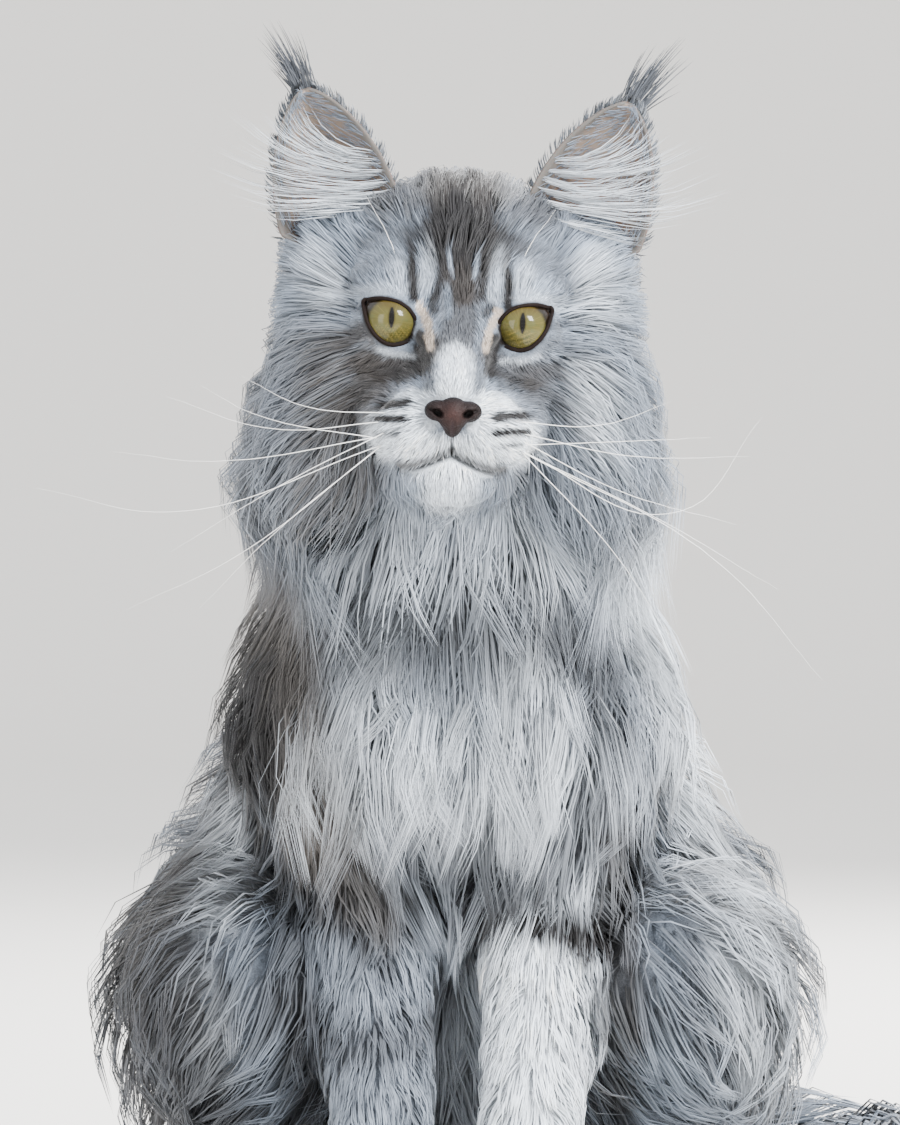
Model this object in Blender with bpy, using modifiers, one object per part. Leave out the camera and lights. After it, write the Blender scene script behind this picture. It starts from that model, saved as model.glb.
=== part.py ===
"""Life-size seated Maine Coon cat, modelled as a still display figure.

The cat faces -Y and sits on the floor at z = 0. Sizes are in millimetres and MM turns them into
metres. Each sub-part is one closed solid. Neighbours meet face to face with a gap of GAP.
"""

import math
import random
from functools import partial

import bmesh
import bpy
from mathutils import Matrix, Vector
from mathutils.bvhtree import BVHTree

MM = 0.001
GAP = 0.3  # left between solids that touch
GROWTH = 0.45  # how far a cutter's corners stand out, so that its faces stand out by GAP or more
SIDES = {"left": 1, "right": -1}  # the cat's left is +X

# Places that drive the figure, before it is moved to stand over the origin
EYE_LINE = (0, -100, 356)  # midway between the eyes, at the front of the corneas
HEAD_ROLL_DEG = 2.5  # the head leans a little to the cat's left
CHEST_TOP = (0, -10, 250)
RUMP = (0, 118, 80)
SHOULDER = (42, -8, 205)
UPPER_ARM_END = (34, -10, 176)
ELBOW = (33, -16, 148)
WRIST = (24, -72, 42)
HIP = (52, 108, 118)
KNEE = (78, -8, 112)
HOCK = (74, 60, 24)
HIND_TOES = (74, -60, 11)
FORE_TOES = (25, -110, 11)

# Eyes, on the head's own axes: x to the cat's left, y back, z up, from EYE_LINE
EYE_HALF_SPACING = 22.9
EYE_RADIUS = 11.0
EYE_DEPTH = 7
LID_THICKNESS = 3
TEAR_LINE = ((15, -5), (12, -9), (9.5, -13))  # from the eye's inner corner: x and z
EYE_OPENING = (10.0, 8.7)  # half width and half height between the lids
EYE_SLANT_DEG = 17  # the outer corner is the higher one
LID_CUT = (-30, 3)  # the y that the lids are cut open from, and to
LID_SQUARENESS = 0.2  # above 0 pinches the corners of the opening
CORNEA = dict(radius=7.5, bulge=0.8)

# Mouth, on the same axes
PHILTRUM = (-39, -45.5)
LIP_HALF_WIDTH = 18
LIP_SAG = 5.5
LIP_TURN = 0.55 * math.pi  # the arc's turn from the middle to the corner of the mouth
LIP_GROOVE = 1.3
LIP_STEPS = 6
FINE_GROOVE = 1

# Ears
EAR_BASE = (43, 36, 37)
EAR_TIP = (58, 33, 83)
EAR_HALF_WIDTH = 22
EAR_CUP_DEPTH = 16
EAR_THICKNESS = 2.4
EAR_ROOT = 0.22  # share of the ear's length that is sunk in the head
EAR_TOP = 0.985  # where the cup ends, just short of a point
EAR_LEAN = 5  # how far the edges come forward at the base
EAR_GRID = (6, 8)  # faces across and up the cup
# The tuft at the tip fans over twice its spread, longest a little outside the middle
EAR_TUFT = dict(count=4, length=30, width=8, thick=2.2, up=0.86, spread=0.55, lean=0.45)
# Long hair from the inner edge sweeps over the cup and past the outer edge. Its places across
# are read as ear_point reads them.
EAR_HAIR = dict(count=5, width=9, thick=2.2, low=0.12, high=0.62, root=-0.88, end=1.2, longer=0.9)
EAR_HAIR_CLEAR = 3.5
EAR_HAIR_SWELL = 3

CORE_SHARE = 0.4  # how far into a long coat the solid core reaches; its locks go on to the tips

# Planes between the head, the neck and the torso: a point and the way that the upper side faces
HEAD_CUT = ((0, -50, 331), (0, -0.63, 0.77))
NECK_CUT = ((0, -10, 252), (0, -0.45, 0.89))

# A lock is a three-sided tapering blade. Its rings stand at these shares of its length.
LOCK_RINGS = (0.3, 0.6, 0.85)
LOCK_TAPER = ((0, 0.6), (0.3, 1), (0.6, 0.85), (0.85, 0.45), (1, 0))  # share of length, of width
LOCK_RISE = ((0, 0), (0.3, 0.5), (0.6, 0.8), (0.85, 0.95), (1, 1))  # share of length, of height
LOCK_SINK = 5
WELD = 0.001  # corners nearer than this are one
LOCK_CLEARANCE = 0.5
LOCK_DROOP = 0.35
LOCK_SWAY = 0.25
CHEEK_X, CHEEK_Y, CHEEK_Z = 34, -92, 372  # long hair grows outside, behind and under these
NAPE_Y, NAPE_Z = -34, 392  # and behind and under these
FACE_CENTRE = (0, -95, 340)  # the cheeks' hair turns away from here
RUFF_CENTRE = (0, -70, 335)  # and the ruff's from here
FLANK_START, FLANK_SPAN, FLANK_SWEEP = -20, 120, 0.5  # the body's hair sweeps back along y
TAIL_FLARE = 0.2
UNDERSIDE = -0.8  # a face that looks further down than this bears no lock
BELLY = -0.6  # and on the torso this
LOWEST_ROOT = 14
LOWEST_LOCK = 9
COVER_REACH = 14  # a root with another node this near over it grows no lock
RUFF_REACH = 14  # how far the ruff hides the chest under the neck's lower end
ROOT_TRIES = 4000
# Where another node is in a lock's way it is tried shorter, or standing further off
LOCK_TRIES = ((1, 0), (1, 4), (0.8, 8), (0.75, 0), (0.75, 4), (0.5, 0), (0.5, 6))

# Body forms: centre and half sizes of the bare body, and the depth of the coat over it.
# A limb tapers from one ball to another. A form with long=True is in long coat.
HEAD_FORMS = [
    dict(ball=(0, 44, 12), size=(41, 44, 38), coat=7),  # cranium
    dict(ball=(0, 22, 14), size=(34, 22, 26), coat=4),  # forehead
    dict(limb=((0, 10, 4), 14, (0, -28, -24), 9), coat=1.5),  # bridge of the nose
    dict(ball=(0, -8, -36), size=(19, 22, 15), coat=3),  # muzzle
    dict(ball=(0, -16, -53), size=(15, 12, 9), coat=3),  # chin
    dict(ball=(0, 16, -44), size=(24, 30, 16), coat=6),  # lower jaw
    dict(ball=(0, 42, -34), size=(32, 34, 30), coat=8),  # throat
]
HEAD_PAIRS = [
    dict(ball=(22, 13, 14), size=(14, 10, 7), coat=3),  # brow ridge
    dict(ball=(19, 9, -17), size=(14, 12, 13), coat=3),  # below the eye
    dict(limb=((10, 4, -14), 6, (11, -16, -32), 9), coat=2),  # side of the nose
    dict(ball=(17, 6, -33), size=(14, 18, 12), coat=3),  # behind the whisker pad
    dict(ball=(31, 34, -17), size=(19, 26, 25), coat=8),  # cheek
    dict(ball=(35, 38, 8), size=(16, 20, 22), coat=7),  # temple
    dict(ball=(38, 43, 22), size=(15, 14, 13), coat=4),  # root of the ear
    dict(ball=(13, -19, -39), size=(14, 14, 11), coat=3),  # whisker pad
]
NOSE_FORMS = [
    dict(ball=(0, -35, -32), size=(5.5, 6, 6.5), coat=0),
    dict(ball=(0, -34, -36), size=(3.5, 4.5, 5), coat=0),
]
NOSE_PAIRS = [dict(ball=(5.6, -34, -30.5), size=(5.2, 5.4, 4), coat=0)]
NOSTRIL = dict(at=(5.2, -39.5, -32.4), size=(2.2, 3.4, 1.5), roll_deg=28)

NECK_FORMS = [dict(limb=((0, -42, 318), 40, CHEST_TOP, 49), coat=32, long=True)]
TORSO_FORMS = [
    dict(ball=(0, -6, 222), size=(52, 50, 60), coat=26, long=True),  # chest
    dict(limb=((0, 12, 214), 56, (0, 80, 130), 70), coat=24, long=True),  # ribs
    dict(ball=(0, 60, 102), size=(60, 60, 56), coat=20, long=True),  # belly
    dict(ball=RUMP, size=(64, 66, 76), coat=22, long=True),
]
TORSO_PAIRS = [
    dict(ball=(42, 62, 166), size=(38, 54, 42), coat=24, long=True),  # flank
    dict(ball=(34, 4, 232), size=(30, 38, 46), coat=24, long=True),  # shoulder blade
    dict(limb=(SHOULDER, 28, UPPER_ARM_END, 21), coat=16, long=True),  # upper arm
]
FORELEG_FORMS = [dict(limb=(ELBOW, 18, WRIST, 13.5), coat=6)]
FOREPAW_FORMS = [
    dict(limb=(WRIST, 13, (25, -86, 22), 14), coat=5),
    dict(ball=(25, -94, 13), size=(17, 22, 14), coat=4),
]
HAUNCH_FORMS = [
    dict(limb=(HIP, 56, KNEE, 33), coat=24, long=True),
    dict(limb=(KNEE, 31, HOCK, 18), coat=14, long=True),
]
HIND_FOOT_FORMS = [dict(limb=(HOCK, 15, (74, -42, 18), 15), coat=5)]
TOE_SPREAD = (-13.5, -4.8, 4.8, 13.5)  # sideways places of a paw's four toes
TOE_REACH = (-4, 0, 0, -4)  # the outer toes stand back
TOE_SIZE = (6.2, 11, 9)
TOE_COAT = 3

TAIL_LINE = [
    (0, 176, 44),
    (12, 216, 30),
    (46, 244, 24),
    (92, 248, 23),
    (134, 228, 22),
    (162, 188, 22),
    (174, 140, 21),
    (174, 94, 20),
    (164, 54, 18),
]
TAIL_RADIUS = (14, 9)  # at the root and at the tip
TAIL_COAT = 28
TAIL_LENGTHS = {"tail_base": (0, 2), "tail_middle": (2, 5), "tail_end": (5, 8)}

# Surface finishes: colour, roughness
FINISHES = {
    "coat_silver": ((0.47, 0.50, 0.53), 0.85),
    "ear_skin": ((0.56, 0.47, 0.45), 0.75),
    "nose_leather": ((0.36, 0.21, 0.19), 0.45),
    "eye": ((0.50, 0.49, 0.16), 0.08),
}

# Long coat: how a node's locks lie, the least and the most space between their roots, their
# length, width and thickness, and how far their tips stand off the core.
# The lower nodes come first, so that the locks over them lie on theirs.
COAT = {}
for node in TAIL_LENGTHS:
    COAT[node] = dict(lie="tail", space=(27, 27), length=70, width=24, thick=5, stand=16)
for node in ("haunch_left", "haunch_right"):
    COAT[node] = dict(lie="body", space=(22, 33), length=78, width=26, thick=5, stand=14)
COAT["torso"] = dict(lie="body", space=(23, 35), length=78, width=27, thick=5, stand=14)
COAT["neck"] = dict(lie="ruff", space=(21, 29), length=78, width=24, thick=5, stand=19)
COAT["head"] = dict(lie="cheek", space=(16, 22), length=42, width=16, thick=4, stand=13)


def vector(mm_point):
    return Vector(mm_point) * MM


def head_frame():
    """The head's own axes, with their origin between the eyes."""
    return Matrix.Translation(vector(EYE_LINE)) @ Matrix.Rotation(
        math.radians(HEAD_ROLL_DEG), 4, "Y"
    )


def mirrored(form, side):
    """A form of the +X side, moved to the side asked for."""

    def flip(point):
        return (point[0] * side, point[1], point[2])

    made = dict(form)
    if "ball" in form:
        made["ball"] = flip(form["ball"])
    else:
        start, start_radius, end, end_radius = form["limb"]
        made["limb"] = (flip(start), start_radius, flip(end), end_radius)
    return made


def both_sides(forms):
    return [mirrored(form, side) for form in forms for side in SIDES.values()]


def coat_depth(form):
    return form["coat"] * (CORE_SHARE if form.get("long") else 1)


def add_ball(bm, centre, radii, rings=16):
    scale = Matrix.Diagonal((*[radius * MM for radius in radii], 1))
    return bmesh.ops.create_uvsphere(
        bm,
        u_segments=rings * 3 // 2,
        v_segments=rings,
        radius=1,
        matrix=Matrix.Translation(vector(centre)) @ scale,
    )["verts"]


def add_limb(bm, start, start_radius, end, end_radius):
    """A taper between two balls: their convex hull."""
    verts = add_ball(bm, start, (start_radius,) * 3)
    verts += add_ball(bm, end, (end_radius,) * 3)
    hull = bmesh.ops.convex_hull(bm, input=verts)
    inside = set(hull["geom_interior"]) | set(hull["geom_unused"])
    inside = [item for item in inside if isinstance(item, bmesh.types.BMVert)]
    bmesh.ops.delete(bm, geom=inside, context="VERTS")


def object_from(name, bm, matrix=None):
    """A new object that holds bm, in the part's collection."""
    if matrix:
        bm.transform(matrix)
    bmesh.ops.recalc_face_normals(bm, faces=bm.faces)
    mesh = bpy.data.meshes.new(name)
    bm.to_mesh(mesh)
    bm.free()
    obj = bpy.data.objects.new(name, mesh)
    parts.objects.link(obj)
    return obj


def settle(obj):
    """Replaces the object's mesh by what its modifiers make of it."""
    graph = bpy.context.evaluated_depsgraph_get()
    mesh = bpy.data.meshes.new_from_object(obj.evaluated_get(graph))
    old = obj.data
    obj.modifiers.clear()
    obj.data = mesh
    bpy.data.meshes.remove(old)
    return obj


def triangulate(obj):
    obj.modifiers.new("triangles", "TRIANGULATE")
    return settle(obj)


def body_form(name, forms, voxel, smoothing, triangles, matrix=None):
    """One soft closed form, fused from balls and limbs, with about that many triangles."""
    bm = bmesh.new()
    for form in forms:
        depth = coat_depth(form)
        if "ball" in form:
            add_ball(bm, form["ball"], [radius + depth for radius in form["size"]])
        else:
            start, start_radius, end, end_radius = form["limb"]
            add_limb(bm, start, start_radius + depth, end, end_radius + depth)
    obj = object_from(name, bm, matrix)
    remesh = obj.modifiers.new("fuse", "REMESH")
    remesh.mode = "VOXEL"
    remesh.voxel_size = voxel * MM
    smooth = obj.modifiers.new("soften", "SMOOTH")
    smooth.factor = 0.5
    smooth.iterations = smoothing
    settle(obj)
    triangulate(obj)
    thin = obj.modifiers.new("thin out", "DECIMATE")
    thin.ratio = min(1, triangles / len(obj.data.polygons))
    settle(obj)
    return triangulate(obj)


def boolean(obj, others, operation, solver="EXACT"):
    """Joins or cuts obj by the other objects, which are removed."""
    group = bpy.data.collections.new("operands")
    for other in others:
        parts.objects.unlink(other)
        group.objects.link(other)
    modifier = obj.modifiers.new("boolean", "BOOLEAN")
    modifier.operand_type = "COLLECTION"
    modifier.collection = group
    modifier.operation = operation
    modifier.solver = solver
    settle(obj)
    for other in others:
        bpy.data.objects.remove(other)
    bpy.data.collections.remove(group)
    return triangulate(obj)


def copy_of(obj, name):
    copy = bpy.data.objects.new(name, obj.data.copy())
    parts.objects.link(copy)
    return copy


def grown(obj):
    """A copy whose surface stands out by that much, to cut a neighbour with."""
    copy = copy_of(obj, "grown")
    displace = copy.modifiers.new("grow", "DISPLACE")
    displace.strength = GROWTH * MM
    displace.mid_level = 0
    return settle(copy)


def largest_shell(obj):
    """Keeps the largest closed surface of the object and drops every other."""
    bm = bmesh.new()
    bm.from_mesh(obj.data)
    left = set(bm.faces)
    shells = []
    while left:
        shell = [left.pop()]
        for face in shell:
            for edge in face.edges:
                whole = len(edge.link_faces) == 2
                beside = [other for other in edge.link_faces if whole and other in left]
                left.difference_update(beside)
                shell.extend(beside)
        shells.append(shell)
    keep = max(shells, key=len)
    drop = [face for shell in shells if shell is not keep for face in shell]
    bmesh.ops.delete(bm, geom=drop, context="FACES")
    bm.to_mesh(obj.data)
    bm.free()
    return obj


def surface_of(*objects):
    bm = bmesh.new()
    for obj in objects:
        bm.from_mesh(obj.data)
    tree = BVHTree.FromBMesh(bm)
    bm.free()
    return tree


def add_node(name, obj):
    """Cuts the object back from the nodes that it meets and from the floor."""
    surface = surface_of(obj)
    met = [other for other in nodes.values() if surface.overlap(surface_of(other))]
    if met and not name.startswith("head"):
        boolean(obj, [grown(other) for other in met], "DIFFERENCE")
        largest_shell(obj)
    if min(vert.co.z for vert in obj.data.vertices) < 0:
        stand_on_floor(obj)
    nodes[name] = obj


def box(name, low, high):
    bm = bmesh.new()
    size = [h - l for l, h in zip(low, high)]
    middle = [(h + l) / 2 for l, h in zip(low, high)]
    bmesh.ops.create_cube(
        bm,
        size=1,
        matrix=Matrix.Translation(vector(middle)) @ Matrix.Diagonal((*[s * MM for s in size], 1)),
    )
    return object_from(name, bm)


def stand_on_floor(obj):
    """Cuts off what reaches under the floor, which leaves a small flat there."""
    boolean(obj, [box("under floor", (-500, -500, -200), (500, 500, 0))], "DIFFERENCE")


def ball_object(name, centre, radii, rings, matrix=None):
    bm = bmesh.new()
    add_ball(bm, centre, radii, rings)
    return object_from(name, bm, matrix)


def lid_opening(side):
    """A prism through the lids, as an almond whose outer corner is the higher one."""
    half_width, half_height = EYE_OPENING
    front, back = LID_CUT
    count = 20
    slant = math.radians(EYE_SLANT_DEG)
    bm = bmesh.new()
    outline = []
    for step in range(count):
        turn = 2 * math.pi * step / count
        across = half_width * math.cos(turn)
        up = half_height * math.sin(turn) * abs(math.sin(turn)) ** LID_SQUARENESS
        x = across * math.cos(slant) - up * math.sin(slant)
        z = across * math.sin(slant) + up * math.cos(slant)
        outline.append(((EYE_HALF_SPACING + x) * side, front, z))
    face = bm.faces.new([bm.verts.new(vector(point)) for point in outline])
    made = bmesh.ops.extrude_face_region(bm, geom=[face])["geom"]
    moved = [item for item in made if isinstance(item, bmesh.types.BMVert)]
    bmesh.ops.translate(bm, verts=moved, vec=vector((0, back - front, 0)))
    return object_from("lid opening", bm, head_frame())


def groove(points, radius):
    """A thin bent tube, to cut a line such as the mouth's into the surface."""
    curve = bpy.data.curves.new("groove", "CURVE")
    curve.dimensions = "3D"
    curve.bevel_depth = radius * MM
    curve.bevel_resolution = 0
    curve.use_fill_caps = True
    spline = curve.splines.new("POLY")
    spline.points.add(len(points) - 1)
    for place, point in zip(spline.points, points):
        place.co = (*vector(point), 1)
    tube = bpy.data.objects.new("groove", curve)
    parts.objects.link(tube)
    graph = bpy.context.evaluated_depsgraph_get()
    mesh = bpy.data.meshes.new_from_object(tube.evaluated_get(graph))
    bpy.data.objects.remove(tube)
    bm = bmesh.new()
    bm.from_mesh(mesh)
    bmesh.ops.remove_doubles(bm, verts=bm.verts, dist=1e-5)
    bpy.data.meshes.remove(mesh)
    return object_from("groove", bm, head_frame())


def on_face(surface, x, z):
    """The place on the head's front at x and z of the head's own axes."""
    start = head_frame() @ vector((x, -80, z))
    heading = head_frame().to_3x3() @ Vector((0, 1, 0))
    hit = surface.ray_cast(start, heading)[0]
    return tuple(head_frame().inverted() @ hit / MM)


def mouth_cutters(head):
    """The line under the nose, the lips' line in two arcs below it, and each eye's tear line."""
    surface = surface_of(head)
    top, bottom = PHILTRUM
    line = [on_face(surface, 0, z) for z in (top, (top + bottom) / 2, bottom)]
    cutters = [groove(line, FINE_GROOVE)]
    for side in SIDES.values():
        arc = []
        for step in range(LIP_STEPS + 1):
            share = step / LIP_STEPS
            sag = LIP_SAG * math.sin(share * LIP_TURN)
            arc.append(on_face(surface, LIP_HALF_WIDTH * share * side, bottom - sag))
        cutters.append(groove(arc, LIP_GROOVE))
        tear = [on_face(surface, x * side, z) for x, z in TEAR_LINE]
        cutters.append(groove(tear, FINE_GROOVE))
    return cutters


def make_nose():
    forms = NOSE_FORMS + both_sides(NOSE_PAIRS)
    nose = body_form("nose", forms, 0.9, smoothing=3, triangles=160, matrix=head_frame())
    nostrils = []
    for side in SIDES.values():
        x, y, z = NOSTRIL["at"]
        turn = Matrix.Rotation(math.radians(NOSTRIL["roll_deg"] * side), 4, "Y")
        place = Matrix.Translation(vector((x * side, y, z)))
        nostrils.append(
            ball_object("nostril", (0, 0, 0), NOSTRIL["size"], 6, head_frame() @ place @ turn)
        )
    return largest_shell(boolean(nose, nostrils, "DIFFERENCE"))


def make_eye(name, side):
    """An eyeball with the cornea's bulge in front."""
    bm = bmesh.new()
    centre = (EYE_HALF_SPACING * side, EYE_DEPTH, 0)
    add_ball(bm, centre, (EYE_RADIUS,) * 3, 9)
    front = vector(centre) + Vector((0, -EYE_RADIUS * MM, 0))
    for vert in bm.verts:
        near = 1 - (vert.co - front).length / (CORNEA["radius"] * MM)
        vert.co.y -= CORNEA["bulge"] * MM * max(0, near)
    return object_from(name, bm, head_frame())


def make_head(nose, *eyes):
    forms = HEAD_FORMS + both_sides(HEAD_PAIRS)
    for side in SIDES.values():
        centre = (EYE_HALF_SPACING * side, EYE_DEPTH, 0)
        forms.append(dict(ball=centre, size=(EYE_RADIUS + LID_THICKNESS,) * 3, coat=0))
    head = body_form("head", forms, 2, smoothing=4, triangles=1750, matrix=head_frame())
    cutters = mouth_cutters(head) + [grown(nose)]
    for side, eye in zip(SIDES.values(), eyes):
        cutters += [lid_opening(side), grown(eye)]
    return largest_shell(boolean(head, cutters, "DIFFERENCE", "MANIFOLD"))


def ear_point(side, across, up):
    """A point of the ear's cup: across runs from -1, the inner edge, to 1, the outer edge."""
    base, tip = Vector(EAR_BASE), Vector(EAR_TIP)
    axis = (tip - base).normalized()
    sideways = Vector((axis.z, 0, -axis.x))
    narrowing = (1 - max(0, up) ** 2) ** 0.7
    half_width = EAR_HALF_WIDTH * narrowing
    hollow = EAR_CUP_DEPTH * (1 - across**2) * narrowing
    point = base.lerp(tip, up) + sideways * half_width * across
    point.y += hollow - EAR_LEAN * abs(across) * (1 - up)
    return (point.x * side, point.y, point.z)


def make_ear(name, side):
    """A thin cup, open to the front, whose root is sunk in the head."""
    columns, rows = EAR_GRID
    bm = bmesh.new()
    bmesh.ops.create_grid(bm, x_segments=columns, y_segments=rows, size=1)
    for vert in bm.verts:
        up = (vert.co.y + 1) / 2
        up = -EAR_ROOT + (EAR_TOP + EAR_ROOT) * up
        vert.co = vector(ear_point(side, vert.co.x, up))
    if side < 0:
        bmesh.ops.reverse_faces(bm, faces=bm.faces)
    bm.transform(head_frame())
    mesh = bpy.data.meshes.new(name)
    bm.to_mesh(mesh)
    bm.free()
    ear = bpy.data.objects.new(name, mesh)
    parts.objects.link(ear)
    wall = ear.modifiers.new("wall", "SOLIDIFY")
    wall.thickness = EAR_THICKNESS * MM
    wall.offset = 0
    settle(ear)
    return triangulate(ear)


def tuft_paths(side):
    """The fan of locks at the ear's tip."""
    count, spread = EAR_TUFT["count"], EAR_TUFT["spread"]
    for index in range(count):
        across = spread * (2 * index / (count - 1) - 1)
        root = Vector(ear_point(side, across, EAR_TUFT["up"]))
        heading = Vector((side * (EAR_TUFT["lean"] + across / 4), 0.05, 0.9))
        heading *= EAR_TUFT["length"] * (1 - abs(across - 0.2) / 3)
        bend = Vector((side * 4, 0, 0))
        yield [root + heading * share + bend * share**2 for share, _ in LOCK_TAPER]


def ear_hair_paths(side):
    """Locks from the ear's inner edge across its cup, longest halfway up."""
    count, low, high = EAR_HAIR["count"], EAR_HAIR["low"], EAR_HAIR["high"]
    for index in range(count):
        level = index / (count - 1)
        up = low + (high - low) * level
        end = EAR_HAIR["end"] + EAR_HAIR["longer"] * math.sin(math.pi * level)
        edge = Vector(ear_point(side, 1, up))
        path = []
        for share, _ in LOCK_TAPER:
            across = EAR_HAIR["root"] + (end - EAR_HAIR["root"]) * share
            place = Vector(ear_point(side, across, up))
            if share > 0:
                swell = EAR_HAIR_SWELL * math.sin(math.pi * share)
                place.y = edge.y - EAR_HAIR_CLEAR - swell
            path.append(place)
        yield path


def grow_ear_locks(name, side, blade):
    """Roots the ear's tufts in its wall, clear of every other node."""
    others = neighbours_of(name)
    turn = head_frame()
    forward = turn.to_3x3() @ Vector((0, -1, 0))
    for spec, paths in ((EAR_TUFT, tuft_paths(side)), (EAR_HAIR, ear_hair_paths(side))):
        for local_path in paths:
            path = [turn @ (place * MM) / MM for place in local_path]
            ups = [forward] * len(path)
            bm = bent_blade(blade, path, ups, spec["width"], spec["thick"])
            if BVHTree.FromBMesh(bm).overlap(others):
                bm.free()
            else:
                locks[name].append(object_from("lock", bm))


def toes(at, side):
    made = []
    for spread, reach in zip(TOE_SPREAD, TOE_REACH):
        centre = ((at[0] + spread) * side, at[1] - reach, at[2])
        made.append(dict(ball=centre, size=TOE_SIZE, coat=TOE_COAT))
    return made


def add_leg_piece(name, forms, side, voxel, triangles, more=()):
    """A piece of a leg from forms of the +X side, moved to its own side, with any toes."""
    forms = [mirrored(form, side) for form in forms] + list(more)
    add_node(name, body_form(name, forms, voxel, smoothing=4, triangles=triangles))


def part_at(upper, lower, cut):
    """Parts two solids at a plane, with the gap between them."""
    point, facing = cut
    facing = Vector(facing).normalized()
    for obj, side in ((upper, -1), (lower, 1)):
        away = facing * side
        size = 400
        middle = Vector(point) + away * (size / 2 - GAP / 2)
        block = box("block", (-size / 2,) * 3, (size / 2,) * 3)
        turn = away.to_track_quat("Z", "Y").to_matrix().to_4x4()
        block.data.transform(Matrix.Translation(middle * MM) @ turn)
        boolean(obj, [block], "DIFFERENCE", "MANIFOLD")
        largest_shell(obj)


def share_at(stations, share):
    """Reads a list of (share, value) stations, straight between them."""
    for (before, low), (after, high) in zip(stations, stations[1:]):
        if share <= after:
            return low + (high - low) * (share - before) / (after - before)
    return stations[-1][1]


def make_blade():
    """A straight three-sided cone with rings, which every lock is bent from."""
    bm = bmesh.new()
    up = Matrix.Translation((0, 0, 0.5))
    bmesh.ops.create_cone(
        bm, cap_ends=True, segments=3, radius1=1, radius2=0, depth=1, matrix=up
    )
    for level in LOCK_RINGS:
        whole = bm.verts[:] + bm.edges[:] + bm.faces[:]
        bmesh.ops.bisect_plane(bm, geom=whole, plane_co=(0, 0, level), plane_no=(0, 0, 1))
    bmesh.ops.triangulate(bm, faces=bm.faces)
    mesh = bpy.data.meshes.new("blade")
    bm.to_mesh(mesh)
    bm.free()
    return mesh


def bent_blade(blade, path, ups, width, thick):
    """The blade laid along a path of one place for each station of LOCK_TAPER."""
    shares = [share for share, _ in LOCK_TAPER]
    bm = bmesh.new()
    bm.from_mesh(blade)
    for vert in bm.verts:
        station = min(range(len(shares)), key=lambda index: abs(shares[index] - vert.co.z))
        before = path[max(0, station - 1)]
        after = path[min(len(path) - 1, station + 1)]
        across = (after - before).cross(ups[station]).normalized()
        up = across.cross(after - before).normalized()
        corner = Vector((vert.co.x, vert.co.y, 0))
        if corner.length > 0:
            corner.normalize()
        size = LOCK_TAPER[station][1]
        wide = across * corner.x * width / math.sqrt(3)
        high = up * corner.y * thick * 2 / 3
        vert.co = (path[station] + (wide + high) * size) * MM
    bmesh.ops.recalc_face_normals(bm, faces=bm.faces)
    return bm


def lie_away(place, centre, outward, down):
    """Down, and away from a centre, mostly to the sides."""
    away = place - Vector(centre)
    away.y /= 2
    return away.normalized() * outward + Vector((0, 0, -down))


def lie_body(place):
    """Down, and back along the flanks."""
    back = min(FLANK_SWEEP, max(0, (place.y - FLANK_START) / FLANK_SPAN))
    return Vector((0, back, -1))


def lie_tail(place):
    """Along the tail to its tip."""
    line = [Vector(point) for point in TAIL_LINE]
    start, end = min(zip(line, line[1:]), key=lambda length: (length[0] - place).length)
    return (end - start).normalized() + (place - start).normalized() * TAIL_FLARE


LIES = {
    "cheek": partial(lie_away, centre=FACE_CENTRE, outward=0.6, down=0.8),
    "ruff": partial(lie_away, centre=RUFF_CENTRE, outward=0.3, down=1),
    "body": lie_body,
    "tail": lie_tail,
}


def bears_locks(name, place, normal):
    """Whether the node's coat is long there, and in sight."""
    if name == "head":
        on_cheek = abs(place.x) > CHEEK_X and place.y > CHEEK_Y and place.z < CHEEK_Z
        return on_cheek or (place.y > NAPE_Y and place.z < NAPE_Z)
    if name == "torso":
        point, facing = NECK_CUT
        under_ruff = (place - Vector(point)).dot(Vector(facing)) > -RUFF_REACH
        return normal.z > BELLY and not (normal.y < -0.5 and under_ruff)
    if name.startswith("haunch"):
        return place.x * normal.x > 0 or normal.y < -0.4
    return True


def wants_lock(name, place, normal, others):
    """Whether a lock grows there: not low down, nor where a neighbour lies close over it."""
    if not bears_locks(name, place, normal):
        return False
    covered = others.ray_cast((place + normal) * MM, normal, COVER_REACH * MM)[0]
    return place.z > LOWEST_ROOT and normal.z > UNDERSIDE and not covered


def lock_roots(name, core, others, random_draw):
    """Places on the core with their normals, closer together where it faces the front or up."""
    close, wide = COAT[name]["space"]
    core.data.calc_loop_triangles()
    triangles = core.data.loop_triangles
    areas = [triangle.area for triangle in triangles]
    vertices = core.data.vertices
    roots = []
    for triangle in random_draw.choices(triangles, areas, k=ROOT_TRIES):
        first, second, third = (vertices[index].co for index in triangle.vertices)
        a, b = random_draw.random(), random_draw.random()
        if a + b > 1:
            a, b = 1 - a, 1 - b
        place = (first + (second - first) * a + (third - first) * b) / MM
        to_back = min(1, max(0, (place.y + 90) / 110))
        space = close + (wide - close) * min(to_back, 1 - min(1, max(0, triangle.normal.z)))
        if all((place - other).length > space for other, _ in roots):
            roots.append((place, triangle.normal.copy()))
    return [root for root in roots if wants_lock(name, *root, others)]


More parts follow.
